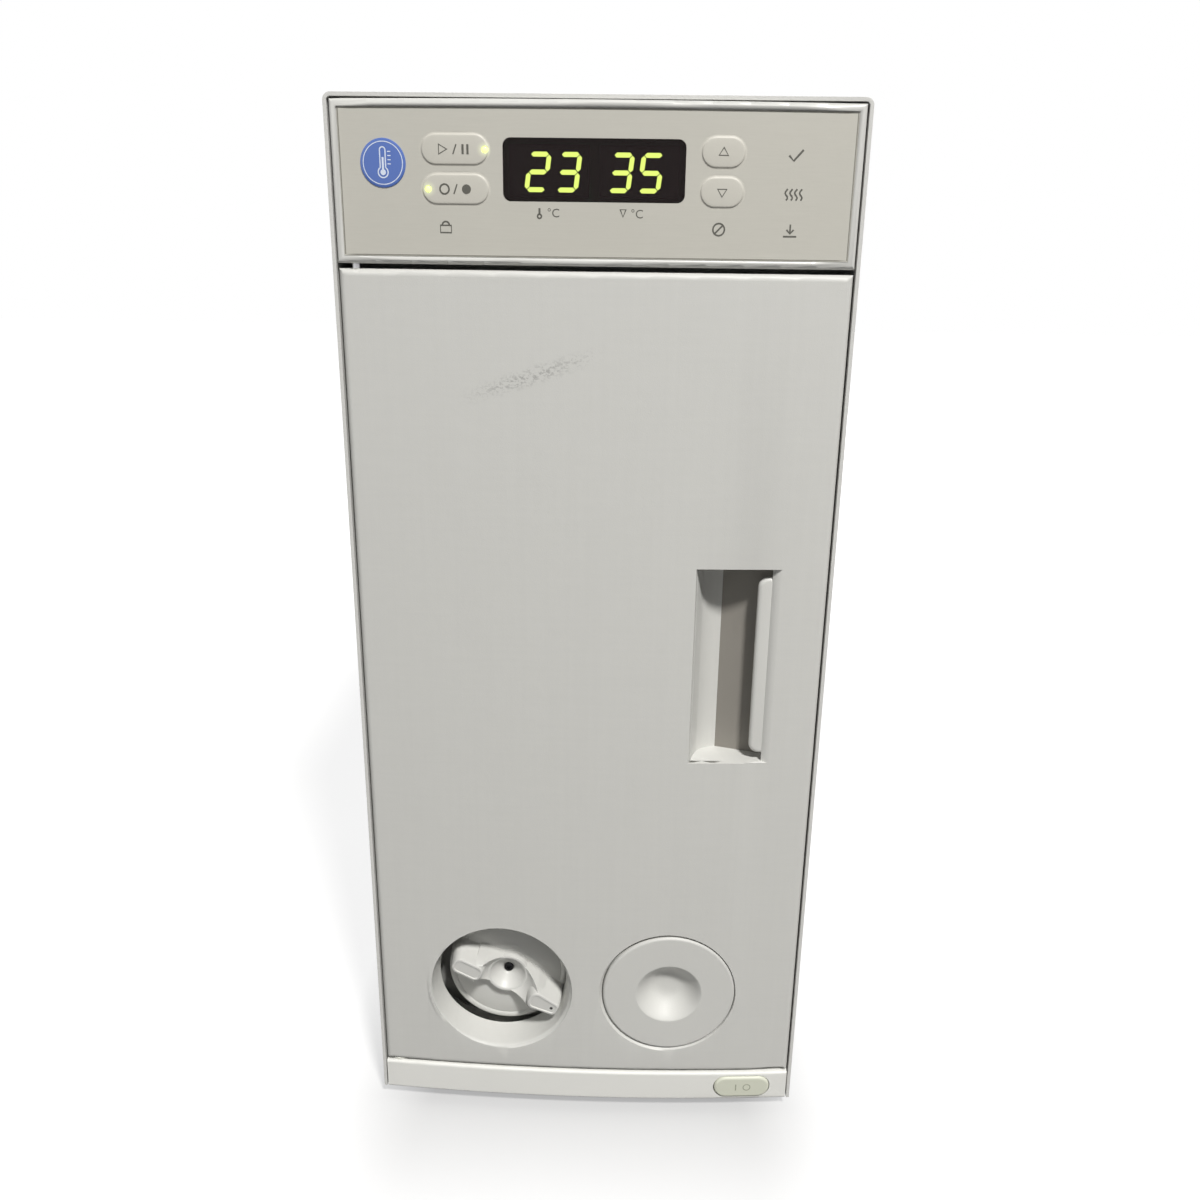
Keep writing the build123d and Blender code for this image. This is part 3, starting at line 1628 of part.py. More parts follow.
socket_z = inlet_z + inlet_height / 2 - 3.5 - socket_height / 2
drawer_z = inlet_z - inlet_height / 2 + 3.5 + drawer_height / 2
inlet_face = rear_face + 3.0
with BuildPart() as power_inlet:
    slab(
        inlet_x - inlet_width / 2 + 2.0,
        inlet_x + inlet_width / 2 - 2.0,
        inlet_face - inlet_depth,
        inlet_face,
        inlet_z - inlet_height / 2 + 2.0,
        inlet_z + inlet_height / 2 - 2.0,
    )
    slab(
        inlet_x - inlet_width / 2 - inlet_flange,
        inlet_x + inlet_width / 2 + inlet_flange,
        rear_face,
        inlet_face,
        inlet_z - inlet_height / 2,
        inlet_z + inlet_height / 2,
    )
    fillet(power_inlet.edges().filter_by(Axis.Y).group_by(Axis.X)[0], 3.0)
    fillet(power_inlet.edges().filter_by(Axis.Y).group_by(Axis.X)[-1], 3.0)
    slab(
        inlet_x - socket_width / 2,
        inlet_x + socket_width / 2,
        inlet_face - socket_depth,
        inlet_face,
        socket_z - socket_height / 2,
        socket_z + socket_height / 2,
        mode=Mode.SUBTRACT,
    )
    for pin_x, pin_z in ((-7.0, -3.0), (0.0, 3.0), (7.0, -3.0)):
        slab(
            inlet_x + pin_x - 1.0,
            inlet_x + pin_x + 1.0,
            inlet_face - socket_depth,
            inlet_face - 3.0,
            socket_z + pin_z - 2.0,
            socket_z + pin_z + 2.0,
        )
    slab(
        inlet_x - drawer_width / 2 - drawer_gap,
        inlet_x + drawer_width / 2 + drawer_gap,
        inlet_face - drawer_depth - seat_gap,
        inlet_face,
        drawer_z - drawer_height / 2 - drawer_gap,
        drawer_z + drawer_height / 2 + drawer_gap,
        mode=Mode.SUBTRACT,
    )

with BuildPart() as fuse_drawer:
    slab(
        inlet_x - drawer_width / 2,
        inlet_x + drawer_width / 2,
        inlet_face - drawer_depth,
        inlet_face + 1.5,
        drawer_z - drawer_height / 2,
        drawer_z + drawer_height / 2,
    )
    slab(
        inlet_x - drawer_width / 2 + 1.5,
        inlet_x + drawer_width / 2 - 1.5,
        inlet_face - drawer_depth + 1.5,
        inlet_face - 2.0,
        drawer_z - drawer_height / 2 + 1.5,
        drawer_z + drawer_height / 2,
        mode=Mode.SUBTRACT,
    )
    fillet(fuse_drawer.edges().filter_by(Axis.X).group_by(Axis.Y)[-1], 1.0)

terminal_face = rear_face + terminal_proud
with BuildPart() as signal_terminals:
    slab(
        terminal_x - terminal_width / 2,
        terminal_x + terminal_width / 2,
        rear_inner - 2 * terminal_proud,
        terminal_face,
        terminal_z - terminal_height / 2,
        terminal_z + terminal_height / 2,
    )
    for index in range(terminal_ways):
        hole_x = terminal_x + (index - (terminal_ways - 1) / 2) * terminal_pitch
        rod_y(hole_x, terminal_z + 2.5, 1.5, rear_face - 1.0, terminal_face, mode=Mode.SUBTRACT)
        slab(
            hole_x - 1.4,
            hole_x + 1.4,
            rear_face,
            terminal_face,
            terminal_z - 4.5,
            terminal_z - 1.5,
            mode=Mode.SUBTRACT,
        )

pieces = {
    "outer_cover": outer_cover,
    "cover_screws": cover_screws,
    "base_pan": base_pan,
    "feet": feet,
    "foot_screws": foot_screws,
    "front_frame": front_frame,
    "catch_magnets": catch_magnets,
    "bottom_rail": bottom_rail,
    "hinge_pins": hinge_pins,
    "power_button": power_button,
    "power_switch": power_switch,
    "rear_panel": rear_panel,
    "side_grommets": side_grommets,
    "door_shell": door_shell,
    "handle_pocket": handle_pocket,
    "handle_grip": handle_grip,
    "door_inner_panel": door_inner_panel,
    "door_screws": door_screws,
    "door_insulation": door_insulation,
    "door_gasket": door_gasket,
    "strike_plates": strike_plates,
    "hinge_bushes": hinge_bushes,
    "blank_plug": blank_plug,
    "valve_knob": valve_knob,
    "knob_screw": knob_screw,
    "valve_shaft": valve_shaft,
    "valve_body": valve_body,
    "valve_clamp_ring": valve_clamp_ring,
    "valve_fittings": valve_fittings,
    "sample_loop": sample_loop,
    "oven_liner": oven_liner,
    "insulation_slabs": insulation_slabs,
    "air_baffle": air_baffle,
    "fan_wheel": fan_wheel,
    "heater_element": heater_element,
    "fan_motor": fan_motor,
    "motor_plate": motor_plate,
    "column_clips": column_clips,
    "clip_screws": clip_screws,
    "drip_tray": drip_tray,
    "drain_pipe": drain_pipe,
    "leak_sensor": leak_sensor,
    "temperature_probe": temperature_probe,
    "thermal_cutout": thermal_cutout,
    "panel_bezel": panel_bezel,
    "panel_overlay": panel_overlay,
    "display_window": display_window,
    "digit_modules": digit_modules,
    "indicator_lamps": indicator_lamps,
    "control_board": control_board,
    "board_pillars": board_pillars,
    "main_board": main_board,
    "power_supply": power_supply,
    "power_inlet": power_inlet,
    "fuse_drawer": fuse_drawer,
    "signal_terminals": signal_terminals,
}
pieces.update(keys)

os.makedirs("parts", exist_ok=True)
for name, piece in pieces.items():
    piece.part.label = name
    export_step(piece.part, f"parts/{name}.step")
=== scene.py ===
import json
import math
from collections import Counter

import bmesh
import bpy
from mathutils import Matrix, Vector
from mathutils.geometry import tessellate_polygon


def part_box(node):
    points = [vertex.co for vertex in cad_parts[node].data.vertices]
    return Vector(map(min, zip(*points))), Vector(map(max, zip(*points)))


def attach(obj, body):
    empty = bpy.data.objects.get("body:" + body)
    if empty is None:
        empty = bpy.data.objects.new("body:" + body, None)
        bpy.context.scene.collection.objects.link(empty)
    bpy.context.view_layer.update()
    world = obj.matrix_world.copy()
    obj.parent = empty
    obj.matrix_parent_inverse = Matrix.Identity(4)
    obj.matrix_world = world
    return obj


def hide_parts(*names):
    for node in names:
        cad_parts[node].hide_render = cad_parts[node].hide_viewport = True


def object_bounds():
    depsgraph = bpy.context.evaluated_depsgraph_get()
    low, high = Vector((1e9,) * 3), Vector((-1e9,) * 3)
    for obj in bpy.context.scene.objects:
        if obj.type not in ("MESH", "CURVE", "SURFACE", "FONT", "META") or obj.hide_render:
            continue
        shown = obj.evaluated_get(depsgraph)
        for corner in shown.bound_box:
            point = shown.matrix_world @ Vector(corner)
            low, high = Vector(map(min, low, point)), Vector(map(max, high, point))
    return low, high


bl_info = {
    "name": "HPLC column oven",
    "version": (1, 0, 0),
    "blender": (4, 5, 0),
    "location": "View3D > Sidebar > Column Oven",
    "description": "Builds the finished pieces of a column oven round its fixed frame",
    "category": "Object",
}

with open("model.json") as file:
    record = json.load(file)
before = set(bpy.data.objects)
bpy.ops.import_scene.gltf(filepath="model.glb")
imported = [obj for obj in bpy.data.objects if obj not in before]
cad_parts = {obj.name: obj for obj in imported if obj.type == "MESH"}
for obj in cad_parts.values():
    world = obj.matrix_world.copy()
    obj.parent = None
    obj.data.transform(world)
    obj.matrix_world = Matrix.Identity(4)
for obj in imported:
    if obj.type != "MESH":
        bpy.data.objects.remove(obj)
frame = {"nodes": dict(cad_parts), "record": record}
cad_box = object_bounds()
MM = 0.001
PROUD = 0.03 * MM
CABINET = "cabinet"
BLACK, WHITE = (0.0, 0.0, 0.0), (1.0, 1.0, 1.0)


# ---------------------------------------------------------------- settings


def length(name, text, value):
    """A size setting; its default is given in millimetres"""
    return bpy.props.FloatProperty(name=name, description=text, default=value * MM, unit="LENGTH")


def reading(name, text, value):
    """A setting for a number on the display"""
    return bpy.props.StringProperty(name=name, description=text, default=value)


def colour(name, text, value):
    """A colour setting in linear values"""
    return bpy.props.FloatVectorProperty(
        name=name, description=text, subtype="COLOR", size=3, min=0.0, max=1.0, default=value
    )


class OvenSizes(bpy.types.PropertyGroup):
    """Sizes of the pieces that are added to the frame"""

    front_bow: length("Front bow", "How far the front bulges", 4.5)
    bow_half: length("Bow half width", "Half of the bowed front's width", 110.1)
    film_depth: length("Film depth", "Panel film behind the front's surface", 0.6)
    digit_height: length("Digit height", "Height of a lit digit", 15.6)
    digit_bar: length("Digit bar", "Width of a digit's bars", 1.9)
    badge_radius: length("Badge radius", "Radius of the round badge", 9.6)
    print_line: length("Print line", "Width of the printed lines", 0.7)
    left_reading: reading("Left reading", "Number on the left half of the display", "23")
    right_reading: reading("Right reading", "Number on the right half of the display", "35")


class OvenColours(bpy.types.PropertyGroup):
    """Colours that a user would change"""

    front: colour("Front", "Door, rail, knob and plug mouldings", (0.60, 0.60, 0.575))
    bezel: colour("Bezel", "Panel frame", (0.60, 0.60, 0.575))
    cover: colour("Cover", "Painted outer cover", (0.62, 0.62, 0.60))
    film: colour("Film", "Panel film", (0.525, 0.513, 0.462))
    key: colour("Keys", "Four pill keys", (0.555, 0.54, 0.485))
    button: colour("Power button", "Button in the rail", (0.64, 0.655, 0.55))
    # Pocket: a darker moulding of its own, its colour also holding painted shade that the grip and the recess's
    # top cast on it
    pocket: colour("Pocket", "Floor of the handle recess", (0.25, 0.235, 0.21))
    badge: colour("Badge", "Round badge", (0.075, 0.15, 0.46))
    digits: colour("Digits", "Lit digits", (0.82, 1.0, 0.20))
    lamps: colour("Lamps", "Lit lamps", (0.85, 0.96, 0.4))
    window: colour("Window", "Smoked display window", (0.012, 0.006, 0.006))


def sizes():
    return bpy.context.scene.oven_sizes


def colours():
    return bpy.context.scene.oven_colours


# ---------------------------------------------------------------- node helpers


def feed(tree, slot, value):
    """Links a wire to a socket or sets the socket's own value"""
    if isinstance(value, Wire):
        tree.links.new(value.socket, slot)
    elif slot.type == "RGBA" and len(value) == 3:
        slot.default_value = (*value, 1.0)
    else:
        slot.default_value = value


def add_node(tree, kind, values=None, settings=None, output=0):
    """Any node: its settings first, then the values or links of its sockets"""
    node = tree.nodes.new(kind)
    for name, value in (settings or {}).items():
        setattr(node, name, value)
    for name, value in (values or {}).items():
        feed(tree, node.inputs[name], value)
    return Wire(tree, node.outputs[output])


def maths(operation, reflected=False):
    """A method of Wire that adds one Math node"""

    def made(self, other=0.0):
        first, second = (other, self) if reflected else (self, other)
        return add_node(self.tree, "ShaderNodeMath", {0: first, 1: second}, {"operation": operation})

    return made


class Wire:
    """A socket that takes part in sums"""

    def __init__(self, tree, socket):
        self.tree = tree
        self.socket = socket

    __add__, __radd__ = maths("ADD"), maths("ADD", True)
    __sub__, __rsub__ = maths("SUBTRACT"), maths("SUBTRACT", True)
    __mul__, __rmul__ = maths("MULTIPLY"), maths("MULTIPLY", True)
    __truediv__, __pow__ = maths("DIVIDE"), maths("POWER")
    __gt__, __lt__ = maths("GREATER_THAN"), maths("LESS_THAN")
    at_most, at_least, size = maths("MINIMUM"), maths("MAXIMUM"), maths("ABSOLUTE")


class Finish:
    """A material in the making, with the principled shader at its end"""

    def __init__(self, name, base, roughness, metallic=0.0, **plain):
        self.material = bpy.data.materials.new(name)
        self.material.use_nodes = True
        self.tree = self.material.node_tree
        self.shader = self.tree.nodes["Principled BSDF"]
        self.put("Base Color", tuple(base))
        self.put("Roughness", roughness)
        self.put("Metallic", metallic)
        for title, value in plain.items():
            self.put(title.replace("_", " "), value)
        self.place = self.node("ShaderNodeTexCoord", output="Object")

    def node(self, kind, values=None, settings=None, output=0):
        return add_node(self.tree, kind, values, settings, output)

    def put(self, socket, value):
        feed(self.tree, self.shader.inputs[socket], value)

    def axis(self, letter):
        """One coordinate of the object's own space"""
        return self.node("ShaderNodeSeparateXYZ", {0: self.place}, output="XYZ".index(letter))

    def spread(self, scale, stretch=(1.0, 1.0, 1.0), turn=(0.0, 0.0, 0.0)):
        """Object coordinates times a scale for each axis"""
        scales = tuple(scale * part for part in stretch)
        return self.node("ShaderNodeMapping", {"Vector": self.place, "Scale": scales, "Rotation": turn})

    def noise(self, scale, detail=2.0, stretch=(1.0, 1.0, 1.0), turn=(0.0, 0.0, 0.0), rough=0.5):
        """Noise from 0 to 1; the scale is in cells for each metre"""
        vector = self.spread(scale, stretch, turn)
        values = {"Vector": vector, "Scale": 1.0, "Detail": detail, "Roughness": rough}
        return self.node("ShaderNodeTexNoise", values)

    def blend(self, factor, first, second):
        """A mix of two colours"""
        return self.node("ShaderNodeMix", {0: factor, 6: first, 7: second}, {"data_type": "RGBA"}, 2)

    def shades(self, factor, base, low, high):
        """A mix of two tones of one colour"""
        return self.blend(factor, tone(base, low), tone(base, high))

    def skin(self, shade, roughness, height, depth):
        """Colour, roughness and a bump whose depth is in millimetres"""
        self.put("Base Color", shade)
        self.put("Roughness", roughness)
        bump = {"Height": height, "Distance": depth * MM, "Strength": 1.0}
        self.put("Normal", self.node("ShaderNodeBump", bump))
        return self


def tone(base, factor):
    """A colour made lighter or darker"""
    return tuple(min(1.0, channel * factor) for channel in base)


def moulded(name, base, roughness=0.52, grain=0.045, cells=2600.0, uneven=0.035, **plain):
    """Injection-moulded plastic: fine spark grain, slight unevenness and dull rubbed patches"""
    finish = Finish(name, base, roughness, **plain)
    shade = finish.shades(finish.noise(14.0, 3.0), base, 1 - uneven, 1 + uneven)
    rubbed = finish.noise(38.0, 4.0, rough=0.65)
    return finish.skin(shade, rubbed * 0.16 + (roughness - 0.08), finish.noise(cells, 2.0), grain)


def painted(name, base, roughness=0.5, grain=0.12):
    """Textured powder paint over sheet steel"""
    finish = Finish(name, base, roughness)
    peel = finish.noise(1400.0, 2.0, rough=0.6)
    patches = finish.shades(finish.noise(9.0, 3.0), base, 0.97, 1.03)
    shade = finish.blend((peel < 0.42) * 0.10, patches, tone(base, 0.55))
    return finish.skin(shade, peel * 0.2 + (roughness - 0.1), peel, grain)


def brushed(name, base, along, roughness):
    """Brushed metal with its lines along one axis"""
    finish = Finish(name, base, roughness, 1.0)
    stretch = tuple(0.012 if letter == along else 1.0 for letter in "XYZ")
    lines = finish.noise(900.0, 3.0, stretch, rough=0.7)
    shade = finish.shades(lines * 0.5 + finish.noise(11.0, 2.0) * 0.5, base, 0.86, 1.1)
    return finish.skin(shade, lines * 0.22 + (roughness - 0.1), lines, 0.02)


def plated(name, base, roughness, metallic=1.0):
    """Plated or cast metal with soft clouds and a fine pit"""
    finish = Finish(name, base, roughness, metallic)
    clouds = finish.noise(60.0, 4.0, rough=0.6)
    shade = finish.shades(clouds, base, 0.84, 1.12)
    return finish.skin(shade, clouds * 0.24 + (roughness - 0.1), finish.noise(1200.0, 2.0), 0.02)


def rubbery(name, base):
    """Rubber with a dusty, slightly rough skin"""
    finish = Finish(name, base, 0.72)
    dust = finish.noise(120.0, 5.0, rough=0.7)
    return finish.skin(finish.shades(dust, base, 0.88, 1.25), dust * 0.2 + 0.62, finish.noise(1500.0, 2.0), 0.05)


def foamed(name, base):
    """Closed-cell foam"""
    finish = Finish(name, base, 0.9)
    pores = finish.node("ShaderNodeTexVoronoi", {"Vector": finish.spread(420.0), "Scale": 1.0})
    return finish.skin(finish.shades((pores < 0.28) * 0.6, base, 1.1, 0.6), pores * 0.1 + 0.85, pores, 0.5)


def glowing(name, base, strength, roughness=0.35):
    """A lit lamp or display bar, a little brighter towards its middle"""
    finish = Finish(name, tone(base, 0.7), roughness)
    soft = finish.noise(700.0, 1.0)
    finish.put("Base Color", finish.shades(soft, base, 0.62, 0.8))
    finish.put("Emission Color", finish.shades(soft * 0.3, base, 1.0, 0.8))
    finish.put("Emission Strength", strength)
    finish.put("Roughness", soft * 0.1 + (roughness - 0.05))
    return finish


def circuit(name, base):
    """Lacquered circuit board with faint tracks"""
    finish = Finish(name, base, 0.35)
    values = {"Vector": finish.spread(1.0), "Scale": 260.0, "Mortar Size": 0.09}
    for title, factor in (("Color1", 0.9), ("Color2", 1.15), ("Mortar", 1.7)):
        values[title] = tone(base, factor)
    tracks = finish.node("ShaderNodeTexBrick", values, {"offset": 0.37, "squash": 1.6})
    haze = finish.noise(60.0, 3.0)
    return finish.skin(tracks, haze * 0.2 + 0.26, haze, 0.02)


def printed(name, base):
    """Printing ink with slightly worn cover"""
    finish = Finish(name, base, 0.55)
    wear = finish.noise(900.0, 3.0)
    finish.put("Base Color", finish.shades(wear, base, 0.9, 1.3))
    finish.put("Roughness", wear * 0.2 + 0.45)
    return finish


# ---------------------------------------------------------------- mesh helpers


def bow(x, depth=0.0):
    """Y of the bowed front at x, or of the parallel surface that lies deeper; metres"""
    half, rise = sizes().bow_half, sizes().front_bow
    radius = (half**2 + rise**2) / (2 * rise)
    return cad_box[0].y + radius - math.sqrt((radius - depth) ** 2 - x**2)


def film(x):
    """Y of the panel film at x"""
    return bow(x, sizes().film_depth)


def middle(low, high):
    """Middle of a box in the front plane, as (x, z)"""
    return (low.x + high.x) / 2, (low.z + high.z) / 2


def seat(obj, body, replaces=()):
    """Seats a finished piece on its body and hides the CAD nodes that it replaces"""
    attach(obj, body)
    if replaces:
        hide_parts(*replaces)
    return obj


def shaded(mesh, angle):
    """Smooth shading up to an angle between faces; seams between solids stay sharp"""
    mesh.shade_smooth()
    mesh.set_sharp_from_angle(angle=math.radians(angle))
    for index, uses in Counter(loop.edge_index for loop in mesh.loops).items():
        if uses != 2:
            mesh.edges[index].use_edge_sharp = True


def applied(obj, layers=True):
    """Turns an object's modifiers into plain mesh"""
    graph = bpy.context.evaluated_depsgraph_get()
    done = obj.evaluated_get(graph)
    mesh = bpy.data.meshes.new_from_object(done, preserve_all_data_layers=layers, depsgraph=graph)
    obj.modifiers.clear()
    obj.data = mesh


def loose(name, bm, finish=None, smooth=35.0, even=False):
    """A new object from a bmesh, not yet seated on the frame"""
    mesh = bpy.data.meshes.new(name)
    bm.to_mesh(mesh)
    bm.free()
    if finish:
        mesh.materials.append(finish.material)
    obj = bpy.data.objects.new(name, mesh)
    bpy.context.scene.collection.objects.link(obj)
    if smooth:
        shaded(mesh, smooth)
    if even:
        modifier = obj.modifiers.new("even_normals", "WEIGHTED_NORMAL")
        modifier.keep_sharp = True
        modifier.weight = 80
        applied(obj)
    return obj


def piece(name, bm, finish, body, replaces=(), smooth=35.0, even=False):
    """A new seated piece of the part from a bmesh"""
    return seat(loose(name, bm, finish, smooth, even), body, replaces)


def body_name(node):
    """The body that a CAD node rides on"""
    bodies = frame["record"]["behaviour"]["bodies"]
    return next(name for name, nodes in bodies.items() if node in nodes)


def merged(node):
    """A copy of a CAD node's mesh with its doubles merged"""
    bm = bmesh.new()
    bm.from_mesh(frame["nodes"][node].data)
    bmesh.ops.remove_doubles(bm, verts=bm.verts, dist=0.004 * MM)
    return bm


def islands(node):
    """Lowest and highest corner of each separate solid of a CAD node"""
    bm = merged(node)
    left, boxes = set(bm.verts), []
    while left:
        group, edge = set(), [left.pop()]
        while edge:
            vert = edge.pop()
            group.add(vert)
            near = {link.other_vert(vert) for link in vert.link_edges} & left
            left -= near
            edge.extend(near)
        boxes.append(
            tuple(Vector([pick(v.co[i] for v in group) for i in range(3)]) for pick in (min, max))
        )
    bm.free()
    return sorted(boxes, key=lambda pair: tuple(round(value, 5) for value in pair[0]))


def dress(nodes, finish, edge=0.0, angle=28.0):
    """Replaces CAD nodes by merged copies with smooth curves and, if asked, edges eased by some mm"""
    for node in nodes.split():
        bm = merged(node)
        bmesh.ops.dissolve_limit(bm, angle_limit=math.radians(0.04), verts=bm.verts, edges=bm.edges)
        if edge:
            sharp = [
                e for e in bm.edges
                if len(e.link_faces) == 2 and e.is_convex and e.calc_face_angle(0.0) > math.radians(50.0)
            ]
            bmesh.ops.bevel(
                bm, geom=sharp, offset=edge * MM, segments=2, profile=0.6, affect="EDGES", clamp_overlap=True
            )
        bmesh.ops.triangulate(bm, faces=[f for f in bm.faces if len(f.verts) > 4])
        piece(f"{node}_skin", bm, finish, body_name(node), (node,), angle, True)


def outward(bm):
    """Merges doubles and turns all faces outwards"""
    bmesh.ops.remove_doubles(bm, verts=bm.verts, dist=0.001 * MM)
    bmesh.ops.recalc_face_normals(bm, faces=bm.faces)
    return bm


def rings(bm, loops):
    """Skins a row of vertex loops of equal length; each loop is a list of points"""
    made = [[bm.verts.new(point) for point in loop] for loop in loops]
    for low, high in zip(made, made[1:]):
        for i in range(len(low)):
            j = (i + 1) % len(low)
            bm.faces.new((low[i], low[j], high[j], high[i]))
    bm.faces.new(list(reversed(made[0])))
    bm.faces.new(made[-1])


def turned(centre, base, profile, steps, bm=None):
    """Turns a profile of (radius, depth behind base) in mm about a line along Y; radius 0 closes a pole"""
    if bm is None:
        bm = bmesh.new()
    x, z = centre
    angles = [math.tau * i / steps for i in range(steps)]
    rows = []
    for radius, depth in profile:
        reach, y = radius * MM, base + depth * MM
        spots = [(x + reach * math.cos(a), y, z + reach * math.sin(a)) for a in angles]
        rows.append([bm.verts.new(spot) for spot in (spots if radius else [(x, y, z)])])
    for low, high in zip(rows, rows[1:]):
        for i in range(steps):
            j = (i + 1) % steps
            start = (low[0],) if len(low) == 1 else (low[i], low[j])
            end = (high[0],) if len(high) == 1 else (high[j], high[i])
            bm.faces.new(start + end)
    return outward(bm)


def arc(x, z, radius, start, sweep, steps):
    """Points of an arc as (x, z, outward direction); angles in degrees"""
    angles = [math.radians(start + sweep * i / steps) for i in range(steps + 1)]
    return [(x + radius * math.cos(a), z + radius * math.sin(a), (math.cos(a), math.sin(a))) for a in angles]


def pill(x, z, width, height):
    """Outline of a bar with round ends"""
    radius = height / 2
    reach = width / 2 - radius
    return arc(x + reach, z, radius, -90.0, 180.0, 14) + arc(x - reach, z, radius, 90.0, 180.0, 14)


def rounded(low, high, radii):
    """Outline of a box whose corners (right low, right high, left high, left low) have these radii"""
    points = []
    for corner, radius in enumerate(radii):
        x = high.x - radius if corner < 2 else low.x + radius
        z = high.z - radius if corner in (1, 2) else low.z + radius
        points += arc(x, z, radius, 90.0 * corner - 90.0, 90.0, 8)
    return points


def eased(corners, radii):
    """Outline of a convex shape with round corners, from (x, z) corners in counter-clockwise order"""
    points = []
    for i, radius in enumerate(radii):
        corner = Vector(corners[i])
        back = (Vector(corners[i - 1]) - corner).normalized()
        ahead = (Vector(corners[(i + 1) % len(corners)]) - corner).normalized()
        half = back.angle(ahead) / 2
        centre = corner + (back + ahead).normalized() * (radius / math.sin(half))
        start = math.degrees(math.atan2(back.x, -back.y))
        points += arc(centre.x, centre.y, radius, start, 180.0 - math.degrees(2 * half), 7)
    return points


def drawn_in(outline, inset, depth, surface=lambda x: 0.0):
    """An outline drawn in by an inset and laid behind a surface"""
    places = [(x - out[0] * inset, z - out[1] * inset) for x, z, out in outline]
    return [(x, surface(x) + depth, z) for x, z in places]


def round_line(x, z, radius, start=0.0, sweep=360.0, steps=28):
    """Points on an arc or a closed circle in the front plane"""
    points = [(px, pz) for px, pz, _ in arc(x, z, radius, start, sweep, steps)]
    return points[:-1] if sweep >= 360.0 else points


def plate(bm, outline, front, height=PROUD):
    """A thin flat shape of (x, z) points, standing proud of the surface front(x) by height"""
    if sum(a[0] * b[1] - b[0] * a[1] for a, b in zip(outline, outline[1:] + outline[:1])) < 0:
        outline = outline[::-1]
    flat = [Vector((x, z, 0.0)) for x, z in outline]
    top = [bm.verts.new((x, front(x) - height, z)) for x, z in outline]
    base = [bm.verts.new((x, front(x), z)) for x, z in outline]
    for a, b, c in tessellate_polygon([flat]):
        if (flat[b] - flat[a]).cross(flat[c] - flat[a]).z < 0:
            b, c = c, b
        bm.faces.new((top[a], top[b], top[c]))
        bm.faces.new((base[c], base[b], base[a]))
    for i in range(len(outline)):
        j = (i + 1) % len(outline)
        bm.faces.new((top[i], base[i], base[j], top[j]))


def printed_line(bm, points, width, front, closed=False):
    """A flat printed line along (x, z) points, laid on the surface that front(x) gives"""
    count = len(points)
    left, right = [], []
    for i, (x, z) in enumerate(points):
        before = points[(i - 1) % count] if closed or i else points[i]
        after = points[(i + 1) % count] if closed or i < count - 1 else points[i]
        dx, dz = after[0] - before[0], after[1] - before[1]
        half = width / 2 / (math.hypot(dx, dz) or 1.0)
        left.append((x - dz * half, z + dx * half))
        right.append((x + dz * half, z - dx * half))
    for i in range(count if closed else count - 1):
        j = (i + 1) % count
        plate(bm, [left[i], left[j], right[j], right[i]], front)


def cut(obj, cutter):
    """Cuts one mesh object by another and removes the cutter"""
    modifier = obj.modifiers.new("cut", "BOOLEAN")
    modifier.operation = "DIFFERENCE"
    modifier.solver = "EXACT"
    modifier.object = cutter
    applied(obj)
    bpy.data.objects.remove(cutter)


# ---------------------------------------------------------------- geometry node helpers


